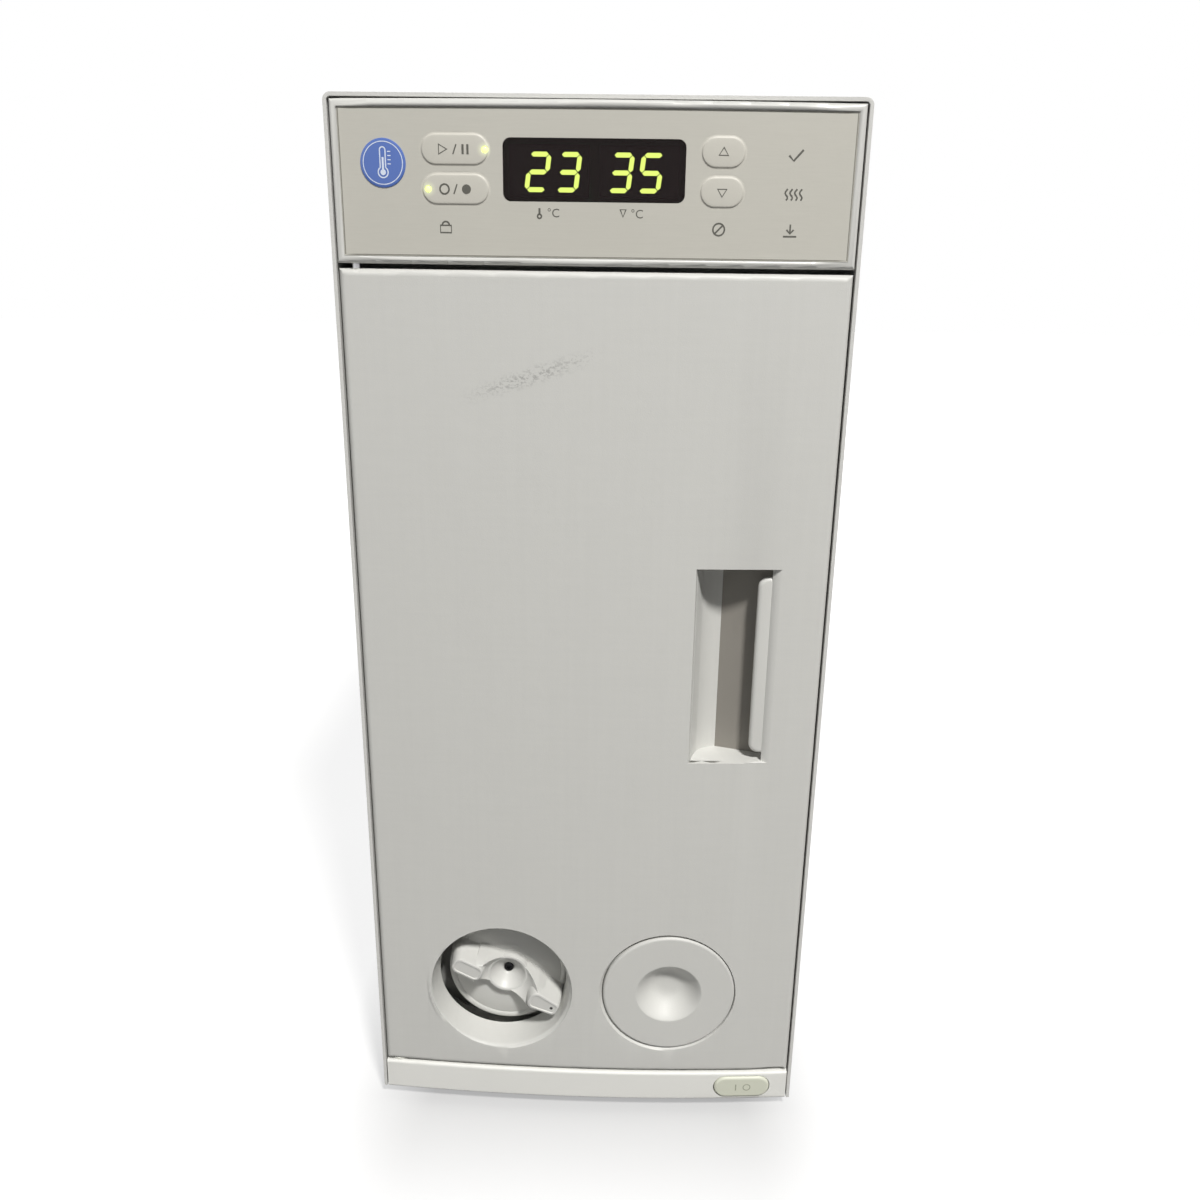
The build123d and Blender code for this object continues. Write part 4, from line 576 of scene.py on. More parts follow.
class Grower:
    """A geometry node tree that puts one shape on each given point"""

    def __init__(self, name, lengths, counts=()):
        self.tree = bpy.data.node_groups.new(name, "GeometryNodeTree")
        rows = [("Geometry", "Geometry", None)]
        rows += [(title, "Float", value * MM) for title, value in lengths]
        rows += [(title, "Int", value) for title, value in counts]
        rows += [("Direction", "Vector", (0.0, 0.0, 0.0)), ("Material", "Material", None)]
        for title, kind, value in rows:
            item = self.tree.interface.new_socket(title, in_out="INPUT", socket_type=f"NodeSocket{kind}")
            if value is not None:
                item.default_value = value
        self.tree.interface.new_socket("Geometry", in_out="OUTPUT", socket_type="NodeSocketGeometry")
        self.entry = self.tree.nodes.new("NodeGroupInput")
        self.exit = self.tree.nodes.new("NodeGroupOutput")

    def given(self, *titles):
        """Wires of the tree's inputs"""
        wires = [Wire(self.tree, self.entry.outputs[title]) for title in titles]
        return wires if len(wires) > 1 else wires[0]

    def node(self, kind, values=None, settings=None):
        return add_node(self.tree, kind, values, settings)

    def join(self, *parts):
        node = self.tree.nodes.new("GeometryNodeJoinGeometry")
        for part in parts:
            self.tree.links.new(part.socket, node.inputs[0])
        return Wire(self.tree, node.outputs[0])

    def moved(self, geometry, x=0.0, y=0.0, z=0.0):
        return self.node("GeometryNodeTransform", {"Geometry": geometry, "Translation": self.vector(x, y, z)})

    def vector(self, x=0.0, y=0.0, z=0.0):
        return self.node("ShaderNodeCombineXYZ", {"X": x, "Y": y, "Z": z})

    def rod(self, steps, radius, depth):
        values = {"Vertices": steps, "Radius": radius, "Depth": depth}
        return self.node("GeometryNodeMeshCylinder", values, {"fill_type": "NGON"})

    def cone(self, steps, radius, top, depth):
        values = {"Vertices": steps, "Radius Bottom": radius, "Radius Top": top, "Depth": depth}
        return self.node("GeometryNodeMeshCone", values, {"fill_type": "NGON"})

    def box_curve(self, width, height):
        return self.node("GeometryNodeCurvePrimitiveQuadrilateral", {"Width": width, "Height": height})

    def circle(self, steps, radius):
        return self.node("GeometryNodeCurvePrimitiveCircle", {"Resolution": steps, "Radius": radius})

    def swept(self, path, profile, caps=False):
        values = {"Curve": path, "Profile Curve": profile, "Fill Caps": caps}
        return self.node("GeometryNodeCurveToMesh", values)

    def finish(self, shape):
        """Turns the shape, puts it on every point, realizes it and sets its material"""
        shape = self.node("GeometryNodeTransform", {"Geometry": shape, "Rotation": self.given("Direction")})
        spots = self.node("GeometryNodeMeshToPoints", {"Mesh": self.given("Geometry")})
        placed = self.node("GeometryNodeInstanceOnPoints", {"Points": spots, "Instance": shape})
        real = self.node("GeometryNodeRealizeInstances", {"Geometry": placed})
        done = self.node("GeometryNodeSetMaterial", {"Geometry": real, "Material": self.given("Material")})
        self.tree.links.new(done.socket, self.exit.inputs[0])
        return self

    def grow(self, name, points, values, body, slot, replaces):
        """Runs the tree on a mesh of loose points and keeps the result as a plain mesh"""
        mesh = bpy.data.meshes.new(name)
        mesh.from_pydata([tuple(p) for p in points], [], [])
        obj = bpy.data.objects.new(name, mesh)
        bpy.context.scene.collection.objects.link(obj)
        modifier = obj.modifiers.new("grow", "NODES")
        modifier.node_group = self.tree
        for item in self.tree.interface.items_tree:
            if item.item_type == "SOCKET" and item.in_out == "INPUT" and item.name in values:
                modifier[item.identifier] = values[item.name]
        applied(obj, False)
        shaded(obj.data, 35.0)
        seat(obj, body, (replaces,))


def screw_tree():
    """A pan-head screw with a cross recess on each point"""
    tree = Grower(
        "screws", [("Head radius", 3.0), ("Head height", 1.4), ("Shank radius", 1.5), ("Shank length", 10.0)]
    )
    radius, height, shank, reach = tree.given("Head radius", "Head height", "Shank radius", "Shank length")
    low = tree.rod(24, radius, height * 0.62)
    top = tree.cone(24, radius, radius * 0.74, height * 0.38)
    head = tree.join(tree.moved(low, z=height * 0.31), tree.moved(top, z=height * 0.62))
    bars = [
        tree.moved(tree.node("GeometryNodeMeshCube", {"Size": tree.vector(wide, deep, height * 1.1)}), z=height)
        for wide, deep in ((radius * 1.05, radius * 0.26), (radius * 0.26, radius * 1.05))
    ]
    cross = tree.join(*bars)
    carved = tree.node("GeometryNodeMeshBoolean", {"Mesh 1": head}, {"operation": "DIFFERENCE"})
    tree.tree.links.new(cross.socket, carved.socket.node.inputs["Mesh 2"])
    return tree.finish(tree.join(carved, tree.moved(tree.rod(18, shank, reach), z=reach * -0.5)))


def fan_tree():
    """A squirrel-cage wheel: curved blades between a back plate and a front ring, about Z"""
    tree = Grower(
        "fan wheel", [("Radius", 52.0), ("Width", 18.0), ("Blade", 15.0), ("Sheet", 0.9)], [("Blades", 28)]
    )
    radius, width, blade, sheet, count = tree.given("Radius", "Width", "Blade", "Sheet", "Blades")
    arc_values = {"Resolution": 7, "Radius": blade}
    arc_values |= {"Start Angle": math.radians(-6.0), "Sweep Angle": math.radians(58.0)}
    blade_curve = tree.node("GeometryNodeCurveArc", arc_values, {"mode": "RADIUS"})
    leaf = tree.swept(blade_curve, tree.box_curve(sheet, width), True)
    leaf = tree.moved(leaf, radius - blade * 1.86, blade * -0.42, width * 0.5)
    spots = tree.node("GeometryNodeMeshLine", {"Count": count, "Offset": (0.0, 0.0, 0.0)})
    turn = tree.node("GeometryNodeInputIndex") * math.tau / count
    cage = {"Points": spots, "Instance": leaf, "Rotation": tree.vector(z=turn)}
    ring = tree.swept(tree.circle(96, radius - sheet), tree.box_curve(sheet * 2.0, sheet * 2.6))
    wheel = tree.join(
        tree.node("GeometryNodeInstanceOnPoints", cage),
        tree.moved(ring, z=width - sheet * 1.3),
        tree.moved(tree.rod(96, radius, sheet * 1.4), z=sheet * 0.7),
        tree.cone(48, radius * 0.24, radius * 0.17, width - sheet),
    )
    return tree.finish(wheel)


def gasket_tree():
    """A soft bead with a lip, swept round a rectangle with round corners in the XY plane"""
    tree = Grower(
        "gasket", [("Width", 181.0), ("Height", 317.0), ("Corner", 7.0), ("Bead", 3.0), ("Depth", 3.0)]
    )
    width, height, corner, bead, depth = tree.given("Width", "Height", "Corner", "Bead", "Depth")
    fillet = {"Curve": tree.box_curve(width, height), "Radius": corner, "Count": 8}
    path = tree.node("GeometryNodeFilletCurve", fillet, {"mode": "POLY"})
    oval = {"Geometry": tree.circle(20, 1.0), "Scale": tree.vector(bead * 0.5, depth * 0.5, 1.0)}
    tube = tree.swept(path, tree.node("GeometryNodeTransform", oval))
    foot = tree.swept(path, tree.box_curve(bead * 2.2, depth * 0.22))
    return tree.finish(tree.join(tube, tree.moved(foot, z=depth * -0.39)))


# ---------------------------------------------------------------- stage

CAMERA_PLACE = (14.8 * MM, -676.1 * MM, 452.1 * MM)
CAMERA_TURNS = ((1.299, "Z"), (71.672, "X"), (0.782, "Z"))
CAMERA_LENS = 31.65
COOL_LIGHT = (0.97, 0.985, 1.0)
CASE_MIDDLE = (0.0, 0.0, 0.25)
# name, place, target, size in metres, power in watts, tint
LAMPS = (
    ("key_lamp", (1.3, -3.26, 4.55), (0.0, -0.2, 0.25), 0.66, 356.0, (1.0, 0.985, 0.96)),
    ("front_lamp", (-1.9, -1.9, 0.9), CASE_MIDDLE, 1.6, 3.2, COOL_LIGHT),
    ("left_lamp", (-2.4, 0.5, 0.5), CASE_MIDDLE, 1.0, 14.0, COOL_LIGHT),
    ("rear_lamp", (0.9, 2.4, 0.6), CASE_MIDDLE, 1.0, 16.0, WHITE),
)


def floor_paper():
    """White floor: the camera sees it glow, less so close to the case, where the dimmed glow is a painted soft
    shadow added to the real one
    """
    paper = Finish("floor_paper", (0.26, 0.26, 0.26), 0.9, Specular_IOR_Level=0.0)
    x, y = paper.axis("X"), paper.axis("Y")
    # painted shadow: the glow drops to 0.42 at the case's front and sides and rises to 0.84 away from them
    beside = (x.size() - 0.085).at_least(0.0) * 16.0
    before = (-0.2 - y).at_least(0.0) * 9.0
    near = ((beside**2.0 + before**2.0) ** 0.5).at_most(1.0) * 0.42 + 0.42
    away = (x**2.0 + y**2.0) ** 0.5
    glow_with_painted_shadow = (near + (away - 0.5).at_least(0.0)).at_most(1.0)
    paper.put("Emission Color", paper.blend(paper.node("ShaderNodeLightPath") * glow_with_painted_shadow, BLACK, WHITE))
    paper.put("Emission Strength", 1.0)
    return paper.material


class OVEN_OT_stage(bpy.types.Operator):
    """White floor, plain world, soft studio lamps and the camera"""

    bl_idname = "oven.stage"
    bl_label = "Stage and camera"

    def execute(self, context):
        scene = context.scene
        scene.view_settings.view_transform = "Standard"
        world = bpy.data.worlds.new("studio")
        scene.world = world
        world.use_nodes = True
        tree = world.node_tree
        tree.nodes.clear()
        seen = add_node(tree, "ShaderNodeLightPath", output="Is Camera Ray")
        for name in ("Is Glossy Ray", "Is Transmission Ray"):
            seen = seen.at_least(add_node(tree, "ShaderNodeLightPath", output=name))
        fill = add_node(tree, "ShaderNodeBackground", {"Color": (0.97, 0.98, 1.0), "Strength": 0.09})
        white = add_node(tree, "ShaderNodeBackground", {"Color": WHITE, "Strength": 1.0})
        both = add_node(tree, "ShaderNodeMixShader", {0: seen, 1: fill, 2: white})
        tree.links.new(both.socket, tree.nodes.new("ShaderNodeOutputWorld").inputs["Surface"])

        ground = bmesh.new()
        bmesh.ops.create_grid(ground, x_segments=2, y_segments=2, size=6.0)
        floor = loose("floor", ground, smooth=0.0)
        floor.data.materials.append(floor_paper())

        for name, place, target, size, power, tint in LAMPS:
            lamp = bpy.data.lights.new(name, "AREA")
            lamp.shape = "DISK"
            lamp.size = size
            lamp.energy = power
            lamp.color = tint
            obj = bpy.data.objects.new(name, lamp)
            obj.location = place
            obj.rotation_euler = (Vector(target) - Vector(place)).to_track_quat("-Z", "Y").to_euler()
            scene.collection.objects.link(obj)

        camera = bpy.data.cameras.new("camera")
        camera.sensor_width = 36.0
        camera.lens = CAMERA_LENS
        camera.clip_start = 0.01
        eye = bpy.data.objects.new("camera", camera)
        view = Matrix.Translation(CAMERA_PLACE)
        for angle, axis in CAMERA_TURNS:
            view @= Matrix.Rotation(math.radians(angle), 4, axis)
        eye.matrix_world = view
        scene.collection.objects.link(eye)
        scene.camera = eye
        return {"FINISHED"}


# ---------------------------------------------------------------- casing and door


class OVEN_OT_casing(bpy.types.Operator):
    """Outer cover, pan, front frame, rear panel, rail and feet"""

    bl_idname = "oven.casing"
    bl_label = "Casing"

    def execute(self, context):
        paint = painted("cover_paint", colours().cover)
        dress("outer_cover", paint, 0.3)
        dress("rear_panel", paint)
        dress("front_frame", painted("frame_paint", (0.52, 0.52, 0.50), 0.42, 0.05))
        zinc = plated("zinc_plate", (0.62, 0.63, 0.64), 0.36)
        dress("base_pan motor_plate", zinc)
        dress("strike_plates", zinc, 0.2)
        dress("catch_magnets", plated("magnet_face", (0.10, 0.10, 0.11), 0.45, 0.8), 0.5)
        dress("bottom_rail", moulded("rail_moulding", tone(colours().front, 1.28)), angle=32.0)
        rubber = rubbery("black_rubber", (0.022, 0.022, 0.022))
        dress("feet", rubber, 0.6)
        dress("side_grommets", rubber, 0.5)
        return {"FINISHED"}


def door_finish():
    """Door moulding: faint vertical drag marks, a scuffed streak and small rubs"""
    base = colours().front
    finish = moulded("door_moulding", base, 0.5, uneven=0.02)
    drag = finish.noise(330.0, 4.0, (1.0, 1.0, 0.03), rough=0.7)
    weave = finish.noise(520.0, 2.0, (0.05, 1.0, 1.0))
    shade = finish.shades(drag * 0.6 + weave * 0.4, base, 0.955, 1.03)
    x, z = finish.axis("X"), finish.axis("Z")
    line = (z - (x * 0.33 + 0.4085)).size() * 200.0
    span = (1.0 - (x + 0.027).size() * 30.0).at_least(0.0)
    marks = finish.noise(560.0, 5.0, (1.0, 1.0, 1.6), (0.0, 0.5, 0.0), 0.8)
    scuff = (marks > 0.53) * ((1.0 - line).at_least(0.0) * span)
    rub = (finish.noise(230.0, 5.0, rough=0.85) > 0.735) * 0.35
    worn = (scuff * 1.3 + rub * 0.25).at_most(0.9)
    finish.put("Base Color", finish.blend(worn, shade, tone(base, 0.62)))
    return finish


class OVEN_OT_door(bpy.types.Operator):
    """Door shell, its inner panel, foam, gasket, bushes and the handle's pocket"""

    bl_idname = "oven.door"
    bl_label = "Door"

    def execute(self, context):
        dress("door_shell", door_finish(), angle=32.0)
        dress("door_inner_panel", brushed("door_steel", (0.66, 0.66, 0.65), "X", 0.36))
        # the pocket's darker colour is partly its own and partly painted shade of the handle recess
        dress("handle_pocket", moulded("pocket_moulding_and_shade", colours().pocket, 0.6, uneven=0.06))
        dress("hinge_bushes", moulded("natural_plastic", (0.78, 0.78, 0.72), 0.42))
        low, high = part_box("door_gasket")
        bead = 7.0 * MM
        values = {
            "Width": high.x - low.x - bead,
            "Height": high.z - low.z - bead,
            "Corner": 9.0 * MM - bead / 2,
            "Bead": bead / 2.2,
            "Depth": high.y - low.y,
            "Direction": (math.radians(90.0), 0.0, 0.0),
            "Material": moulded("white_silicone", (0.70, 0.70, 0.67), 0.6).material,
        }
        gasket_tree().grow("door_seal", [(low + high) / 2], values, "door", "silicone", "door_gasket")
        dress("door_insulation insulation_slabs", foamed("grey_foam", (0.10, 0.10, 0.10)), 1.0)
        return {"FINISHED"}


class OVEN_OT_handle(bpy.types.Operator):
    """The grip: a rolled strip with round corners"""

    bl_idname = "oven.handle"
    bl_label = "Handle grip"

    def execute(self, context):
        low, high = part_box("handle_grip")
        thick = (high.y - low.y) * 0.62
        outline = rounded(low, high, (0.4 * MM, 0.4 * MM, 5.0 * MM, 5.0 * MM))
        profile = [(0.5 * MM, high.y), (0.0, high.y - 0.5 * MM), (0.0, low.y + thick)]
        for i in range(1, 9):
            angle = math.radians(90.0 * i / 8)
            profile.append((2.1 * MM * (1 - math.cos(angle)), low.y + thick * (1 - math.sin(angle))))
        bm = bmesh.new()
        rings(bm, [drawn_in(outline, inset, depth) for inset, depth in profile])
        grip = moulded("grip_moulding", tone(colours().front, 1.02), 0.42)
        piece("handle_roll", outward(bm), grip, "door", ("handle_grip",), 40.0)
        return {"FINISHED"}


PLUG_RADIUS = 35.0
# radius and depth behind the face in mm: hollow back, then the face with its finger dimple
PLUG_BACK = [(0.0, 11.2), (10.0, 11.2), (17.5, 3.9), (18.6, 3.6), (32.8, 3.6)]
PLUG_FACE = [
    (26.0, 0.0), (17.7, 0.0), (17.3, 0.1), (16.7, 0.5), (15.7, 1.3), (14.6, 2.4), (13.2, 3.9), (11.6, 5.5),
    (10.0, 6.9), (8.4, 7.95), (6.8, 8.6), (4.8, 8.93), (2.5, 9.0), (0.0, 9.0),
]


class OVEN_OT_plug(bpy.types.Operator):
    """Round plug over the second valve's place"""

    bl_idname = "oven.plug"
    bl_label = "Round plug"

    def execute(self, context):
        low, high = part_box("blank_plug")
        centre = middle(low, high)
        face = bow(centre[0])
        deep = high.y - face
        rim = deep / MM
        edge = [(px, pz) for px, pz, _ in arc(33.5, 1.5, 1.5, 0.0, -90.0, 6)]
        profile = PLUG_BACK + [(32.8, rim), (34.6, rim), (PLUG_RADIUS, rim - 0.4)] + edge + PLUG_FACE
        scale = (high.x - low.x) / 2 / MM / PLUG_RADIUS
        bm = turned(centre, face, [(radius * scale, depth) for radius, depth in profile], 160)
        for vert in bm.verts:
            share = 1.0 - (vert.co.y - face) / deep
            vert.co.y += (bow(vert.co.x) - face) * share
        plastic = moulded("plug_moulding", tone(colours().front, 0.99), 0.5)
        piece("plug_cap", outward(bm), plastic, "plug", ("blank_plug",), 32.0, True)
        return {"FINISHED"}


# ---------------------------------------------------------------- knob

# inset in mm, plane (0 front, 1 back) and depth behind it in mm
ARM_PROFILE = (
    (-2.4, 1, 0.3), (-2.2, 1, 0.0), (-1.3, 1, -1.2), (-0.3, 0, 1.2), (0.0, 0, 0.55), (0.22, 0, 0.15),
    (0.6, 0, 0.0), (1.25, 0, 0.0), (1.4, 0, 0.12), (1.5, 0, 0.45),
)
# corners in mm along and across the arm, and their radii
ARMS = (
    (((-14.3, 4.5), (-31.0, 4.5), (-31.0, -4.5), (-14.3, -4.5)), (3.6, 3.6, 3.6, 3.6)),
    (((14.3, -5.6), (31.2, -3.5), (31.2, 3.5), (14.3, 5.6)), (3.8, 2.6, 2.6, 3.8)),
)
CUP_RADIUS, WING_REACH, WING_STEPS = 9.75, 20.5, 24
# hub cup of the knob, as radius and depth behind the disc in mm
HUB_PROFILE = [
    (12.2, 0.0), (11.7, -0.6), (11.5, -3.7), (11.2, -4.3), (10.7, -4.5), (9.9, -4.4), (9.3, -4.0), (8.9, -3.3),
    (6.6, -1.2), (4.2, 0.6), (3.0, 1.4), (2.8, 1.8), (2.8, 2.45), (0.0, 2.45),
]


def knob_arm(bm, spot, planes, corners, radii):
    """One arm of the knob: a drafted block whose face has a sunk panel"""
    outline = eased([spot(u, v) for u, v in corners], [radius * MM for radius in radii])
    rings(bm, [drawn_in(outline, inset * MM, planes[at] + depth * MM) for inset, at, depth in ARM_PROFILE])


def knob_wing(bm, spot, planes, side):
    """The saddle that runs down from one arm and clasps the hub's cup"""
    front, back = planes
    top, base = [], []
    for step in range(WING_STEPS + 1):
        share = step / WING_STEPS
        reach = CUP_RADIUS + (WING_REACH - CUP_RADIUS) * share
        crest = 9.8 - 5.2 * share**0.8
        rise = min(1.0, max(0.0, (reach - 10.0) / 7.0)) ** 1.5
        height = 4.2 + rise * ((back - front) / MM - 5.0)
        foot = crest + 0.9 + 2.2 * height / 16.0
        half = [(foot, 0.0), (crest + (foot - crest) * 0.3, height * 0.6), (crest, height - 0.5)]
        half += [((crest - 0.5) * k, height) for k in (1.0, 0.9, 0.78, 0.64, 0.48, 0.32, 0.16)]
        section = [(-v, h) for v, h in half] + [(0.0, height)] + half[::-1]
        rows = ([], [])
        for v, h in section:
            start = math.sqrt(CUP_RADIUS**2 - v**2) if abs(v) < CUP_RADIUS else 0.0
            x, z = spot(side * (start + (WING_REACH - start) * share), v)
            rows[0].append(bm.verts.new((x, back - h * MM, z)))
            rows[1].append(bm.verts.new((x, back + 0.3 * MM, z)))
        top.append(rows[0])
        base.append(rows[1])
    last = len(top[0]) - 1
    for i in range(WING_STEPS):
        for j in range(last):
            for grid in (top, base):
                bm.faces.new((grid[i][j], grid[i + 1][j], grid[i + 1][j + 1], grid[i][j + 1]))
        for j in (0, last):
            bm.faces.new((top[i][j], top[i + 1][j], base[i + 1][j], base[i][j]))
    for i in (0, WING_STEPS):
        for j in range(last):
            bm.faces.new((top[i][j], top[i][j + 1], base[i][j + 1], base[i][j]))


class OVEN_OT_knob(bpy.types.Operator):
    """Valve knob: disc, conical hub cup, two arms and the saddle between them; its screw, shaft and valve"""

    bl_idname = "oven.knob"
    bl_label = "Valve knob"

    def execute(self, context):
        low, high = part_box("valve_knob")
        screw_low, screw_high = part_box("knob_screw")
        centre = middle(screw_low, screw_high)
        turn = math.radians(-27.5)

        def spot(u, v):
            """A place u mm along and v mm across the arms"""
            cosine, sine = math.cos(turn), math.sin(turn)
            return centre[0] + (u * cosine - v * sine) * MM, centre[1] + (u * sine + v * cosine) * MM

        disc = low.y + 16.0 * MM
        deep, rim = (high.y - disc) / MM, (high.x - low.x) / 2 / MM
        profile = [
            (0.0, deep), (12.0, deep), (12.0, 5.0), (rim - 0.6, 5.0), (rim, 4.4), (rim, 1.5), (rim - 0.45, 0.45),
            (rim - 1.5, 0.0), (rim - 3.2, 0.0), (rim - 3.6, 0.3), (rim - 4.0, 0.0),
        ]
        bm = turned(centre, disc, profile + HUB_PROFILE, 128)
        arms = bmesh.new()
        for corners, radii in ARMS:
            knob_arm(arms, spot, (low.y, disc), corners, radii)
        for side in (-1, 1):
            knob_wing(arms, spot, (low.y, disc), side)
        mesh = bpy.data.meshes.new("arms")
        outward(arms).to_mesh(mesh)
        arms.free()
        bm.from_mesh(mesh)
        plastic = moulded("knob_moulding", tone(colours().front, 0.98), 0.42)
        piece("knob_body", bm, plastic, "knob", ("valve_knob",), 38.0)
        pip = turned(spot(27.6, 0.0), low.y, [(0.0, 0.5), (0.85, 0.5), (0.85, 0.42), (0.0, 0.42)], 24)
        piece("pointer_mark", pip, moulded("mark_black", (0.03, 0.03, 0.03), 0.5), "knob")
        deep = (screw_high.y - screw_low.y) / MM
        profile = [(0.0, 2.2), (1.25, 2.2), (1.25, 0.95), (2.2, 0.9), (2.5, 1.2), (2.5, 2.4), (1.95, 2.4)]
        bm = turned(centre, screw_low.y, profile + [(1.95, deep), (0.0, deep)], 48)
        steel = plated("black_steel", (0.05, 0.05, 0.052), 0.35)
        piece("hub_screw", bm, steel, "knob", ("knob_screw",))
        steel = brushed("turned_steel", (0.66, 0.66, 0.65), "Y", 0.3)
        dress("valve_shaft", steel)
        dress("valve_body", steel, 0.4)
        dress("valve_fittings sample_loop", steel)
        dress("valve_clamp_ring", moulded("tan_plastic", (0.42, 0.34, 0.22), 0.45))
        return {"FINISHED"}


# ---------------------------------------------------------------- display, lamps and keys

DIGIT_WIDTH = 9.6 * MM
LEFT_DIGITS, RIGHT_DIGITS = (-24.0 * MM, -11.3 * MM), (10.4 * MM, 22.8 * MM)
SLANT = 0.13
SEGMENTS = dict(
    zip("0123456789", "ABCDEF BC ABGED ABGCD FGBC AFGCD AFGECD ABC ABCDEFG AFGBCD".split())
)


def digit_bars(bm, text, x, z, front):
    """The lit bars of one digit whose middle is at (x, z)"""
    bar = sizes().digit_bar
    w, h = (DIGIT_WIDTH - bar) / 2, (sizes().digit_height - bar) / 2
    gap, slope = bar * 0.12, bar * 0.12 + bar / 2
    ends = {
        "A": (-w, h, w, h), "G": (-w, 0.0, w, 0.0), "D": (-w, -h, w, -h), "F": (-w, 0.0, -w, h),
        "B": (w, 0.0, w, h), "E": (-w, -h, -w, 0.0), "C": (w, -h, w, 0.0),
    }
    for letter in SEGMENTS[text]:
        x0, z0, x1, z1 = ends[letter]
        reach = math.hypot(x1 - x0, z1 - z0)
        ux, uz = (x1 - x0) / reach, (z1 - z0) / reach
        outline = []
        far = reach - slope
        for along, across in (
            (gap, 0.0), (slope, -1.0), (far, -1.0), (reach - gap, 0.0), (far, 1.0), (slope, 1.0)
        ):
            px = x0 + ux * along - uz * bar / 2 * across
            pz = z0 + uz * along + ux * bar / 2 * across
            outline.append((x + px + SLANT * pz, z + pz))
        plate(bm, outline, front, 0.1 * MM)


class OVEN_OT_display(bpy.types.Operator):
    """Smoked window with the lit digits behind it"""

    bl_idname = "oven.display"
    bl_label = "Display"

    def execute(self, context):
        smoke = Finish("smoked_window", colours().window, 0.12, Specular_IOR_Level=0.22, Alpha=0.55)
        smoke.put("Roughness", smoke.noise(300.0, 2.0) * 0.08 + 0.1)
        dress("display_window", smoke)
        dress("digit_modules", moulded("display_black", (0.008, 0.006, 0.006), 0.5))
        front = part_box("digit_modules")[0].y
        z = middle(*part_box("display_window"))[1] - 0.6 * MM
        bm = bmesh.new()
        for text, places in ((sizes().left_reading, LEFT_DIGITS), (sizes().right_reading, RIGHT_DIGITS)):
            for digit, x in zip(text, places):
                digit_bars(bm, digit, x, z, lambda _: front)
        piece("lit_digits", bm, glowing("lit_bars", colours().digits, 5.0), CABINET, smooth=0.0)
        return {"FINISHED"}


class OVEN_OT_lamps(bpy.types.Operator):
    """Two lit lamps with domed lenses"""

    bl_idname = "oven.lamps"
    bl_label = "Lamps"

    def execute(self, context):
        bm = bmesh.new()
        for low, high in islands("indicator_lamps"):
            radius, deep = (high.x - low.x) / 2 / MM, (high.y - low.y) / MM
            dome = [
                (radius * math.cos(angle), radius * 0.5 * (1 - math.sin(angle)))
                for angle in map(math.radians, (0, 18, 36, 54, 72))
            ]
            turned(middle(low, high), low.y, [(0.0, deep), (radius, deep)] + dome + [(0.0, 0.0)], 40, bm)
        glow = glowing("lit_lens", colours().lamps, 0.85, 0.2)
        piece("lamp_domes", bm, glow, CABINET, ("indicator_lamps",), 60.0)
        return {"FINISHED"}


def key_finish(lamps):
    """Key moulding, with the lamps' light spread in the film round them"""
    finish = moulded("key_moulding", colours().key, 0.46, cells=3200.0)
    glow = 0.0
    for x, z in lamps:
        away = ((finish.axis("X") - x) ** 2.0 + (finish.axis("Z") - z) ** 2.0) ** 0.5
        glow = (1.0 - away * (1 / (3.9 * MM))).at_least(0.0) ** 2.0 + glow
    finish.put("Emission Color", finish.blend(glow.at_most(1.0), BLACK, colours().lamps))
    finish.put("Emission Strength", 0.7)
    return finish


def key_cushion(x, z, width, height, back):
    """A pill with a rolled edge and a gently domed face, standing in the panel film"""
    outline = pill(x, z, width, height)
    skirt, face, roll = -0.32 * MM, sizes().film_depth + 0.03 * MM, sizes().film_depth - 0.07 * MM
    profile = [(skirt, face), (0.45 * MM, face), (0.62 * MM, roll)]
    for angle in map(math.radians, (22, 45, 68, 90)):
        profile.append((0.62 * MM + 0.75 * MM * (1 - math.cos(angle)), roll * (1 - math.sin(angle) * 0.78)))
    last = profile[-1][1]
    for share in (0.2, 0.4, 0.6, 0.8, 0.96):
        profile.append((1.37 * MM + (height / 2 - 1.45 * MM) * share, last * (1 - share) ** 2))
    bm = bmesh.new()
    loops = [drawn_in(outline, skirt, back)]
    rings(bm, loops + [drawn_in(outline, inset, depth, bow) for inset, depth in profile])
    return outward(bm)


def key_signs(node, x, z):
    """The printed sign of one key: an arrow head, a start and pause sign or two rings"""
    bm = bmesh.new()
    line, h = sizes().print_line, 1.9 * MM

    def front(px):
        return bow(px) - 0.01 * MM

    if node in ("up_key", "down_key"):
        flip = h if node == "up_key" else -h
        corners = [(x - h, z - flip * 0.62), (x + h, z - flip * 0.62), (x, z + flip * 0.95)]
        printed_line(bm, corners, line, front, True)
        return bm
    if node == "upper_left_key":
        arrow = [(x - 6.6 * MM, z - h), (x - 3.2 * MM, z), (x - 6.6 * MM, z + h)]
        printed_line(bm, arrow, line, front, True)
        for px in (x + 3.4 * MM, x + 5.4 * MM):
            printed_line(bm, [(px, z - h), (px, z + h)], line * 1.3, front)
    else:
        printed_line(bm, round_line(x - 4.6 * MM, z, h), line, front, True)
        printed_line(bm, round_line(x + 4.6 * MM, z, h * 0.5, steps=16), h, front, True)
    printed_line(bm, [(x - 0.7 * MM, z - h), (x + 0.7 * MM, z + h)], line * 0.8, front)
    return bm


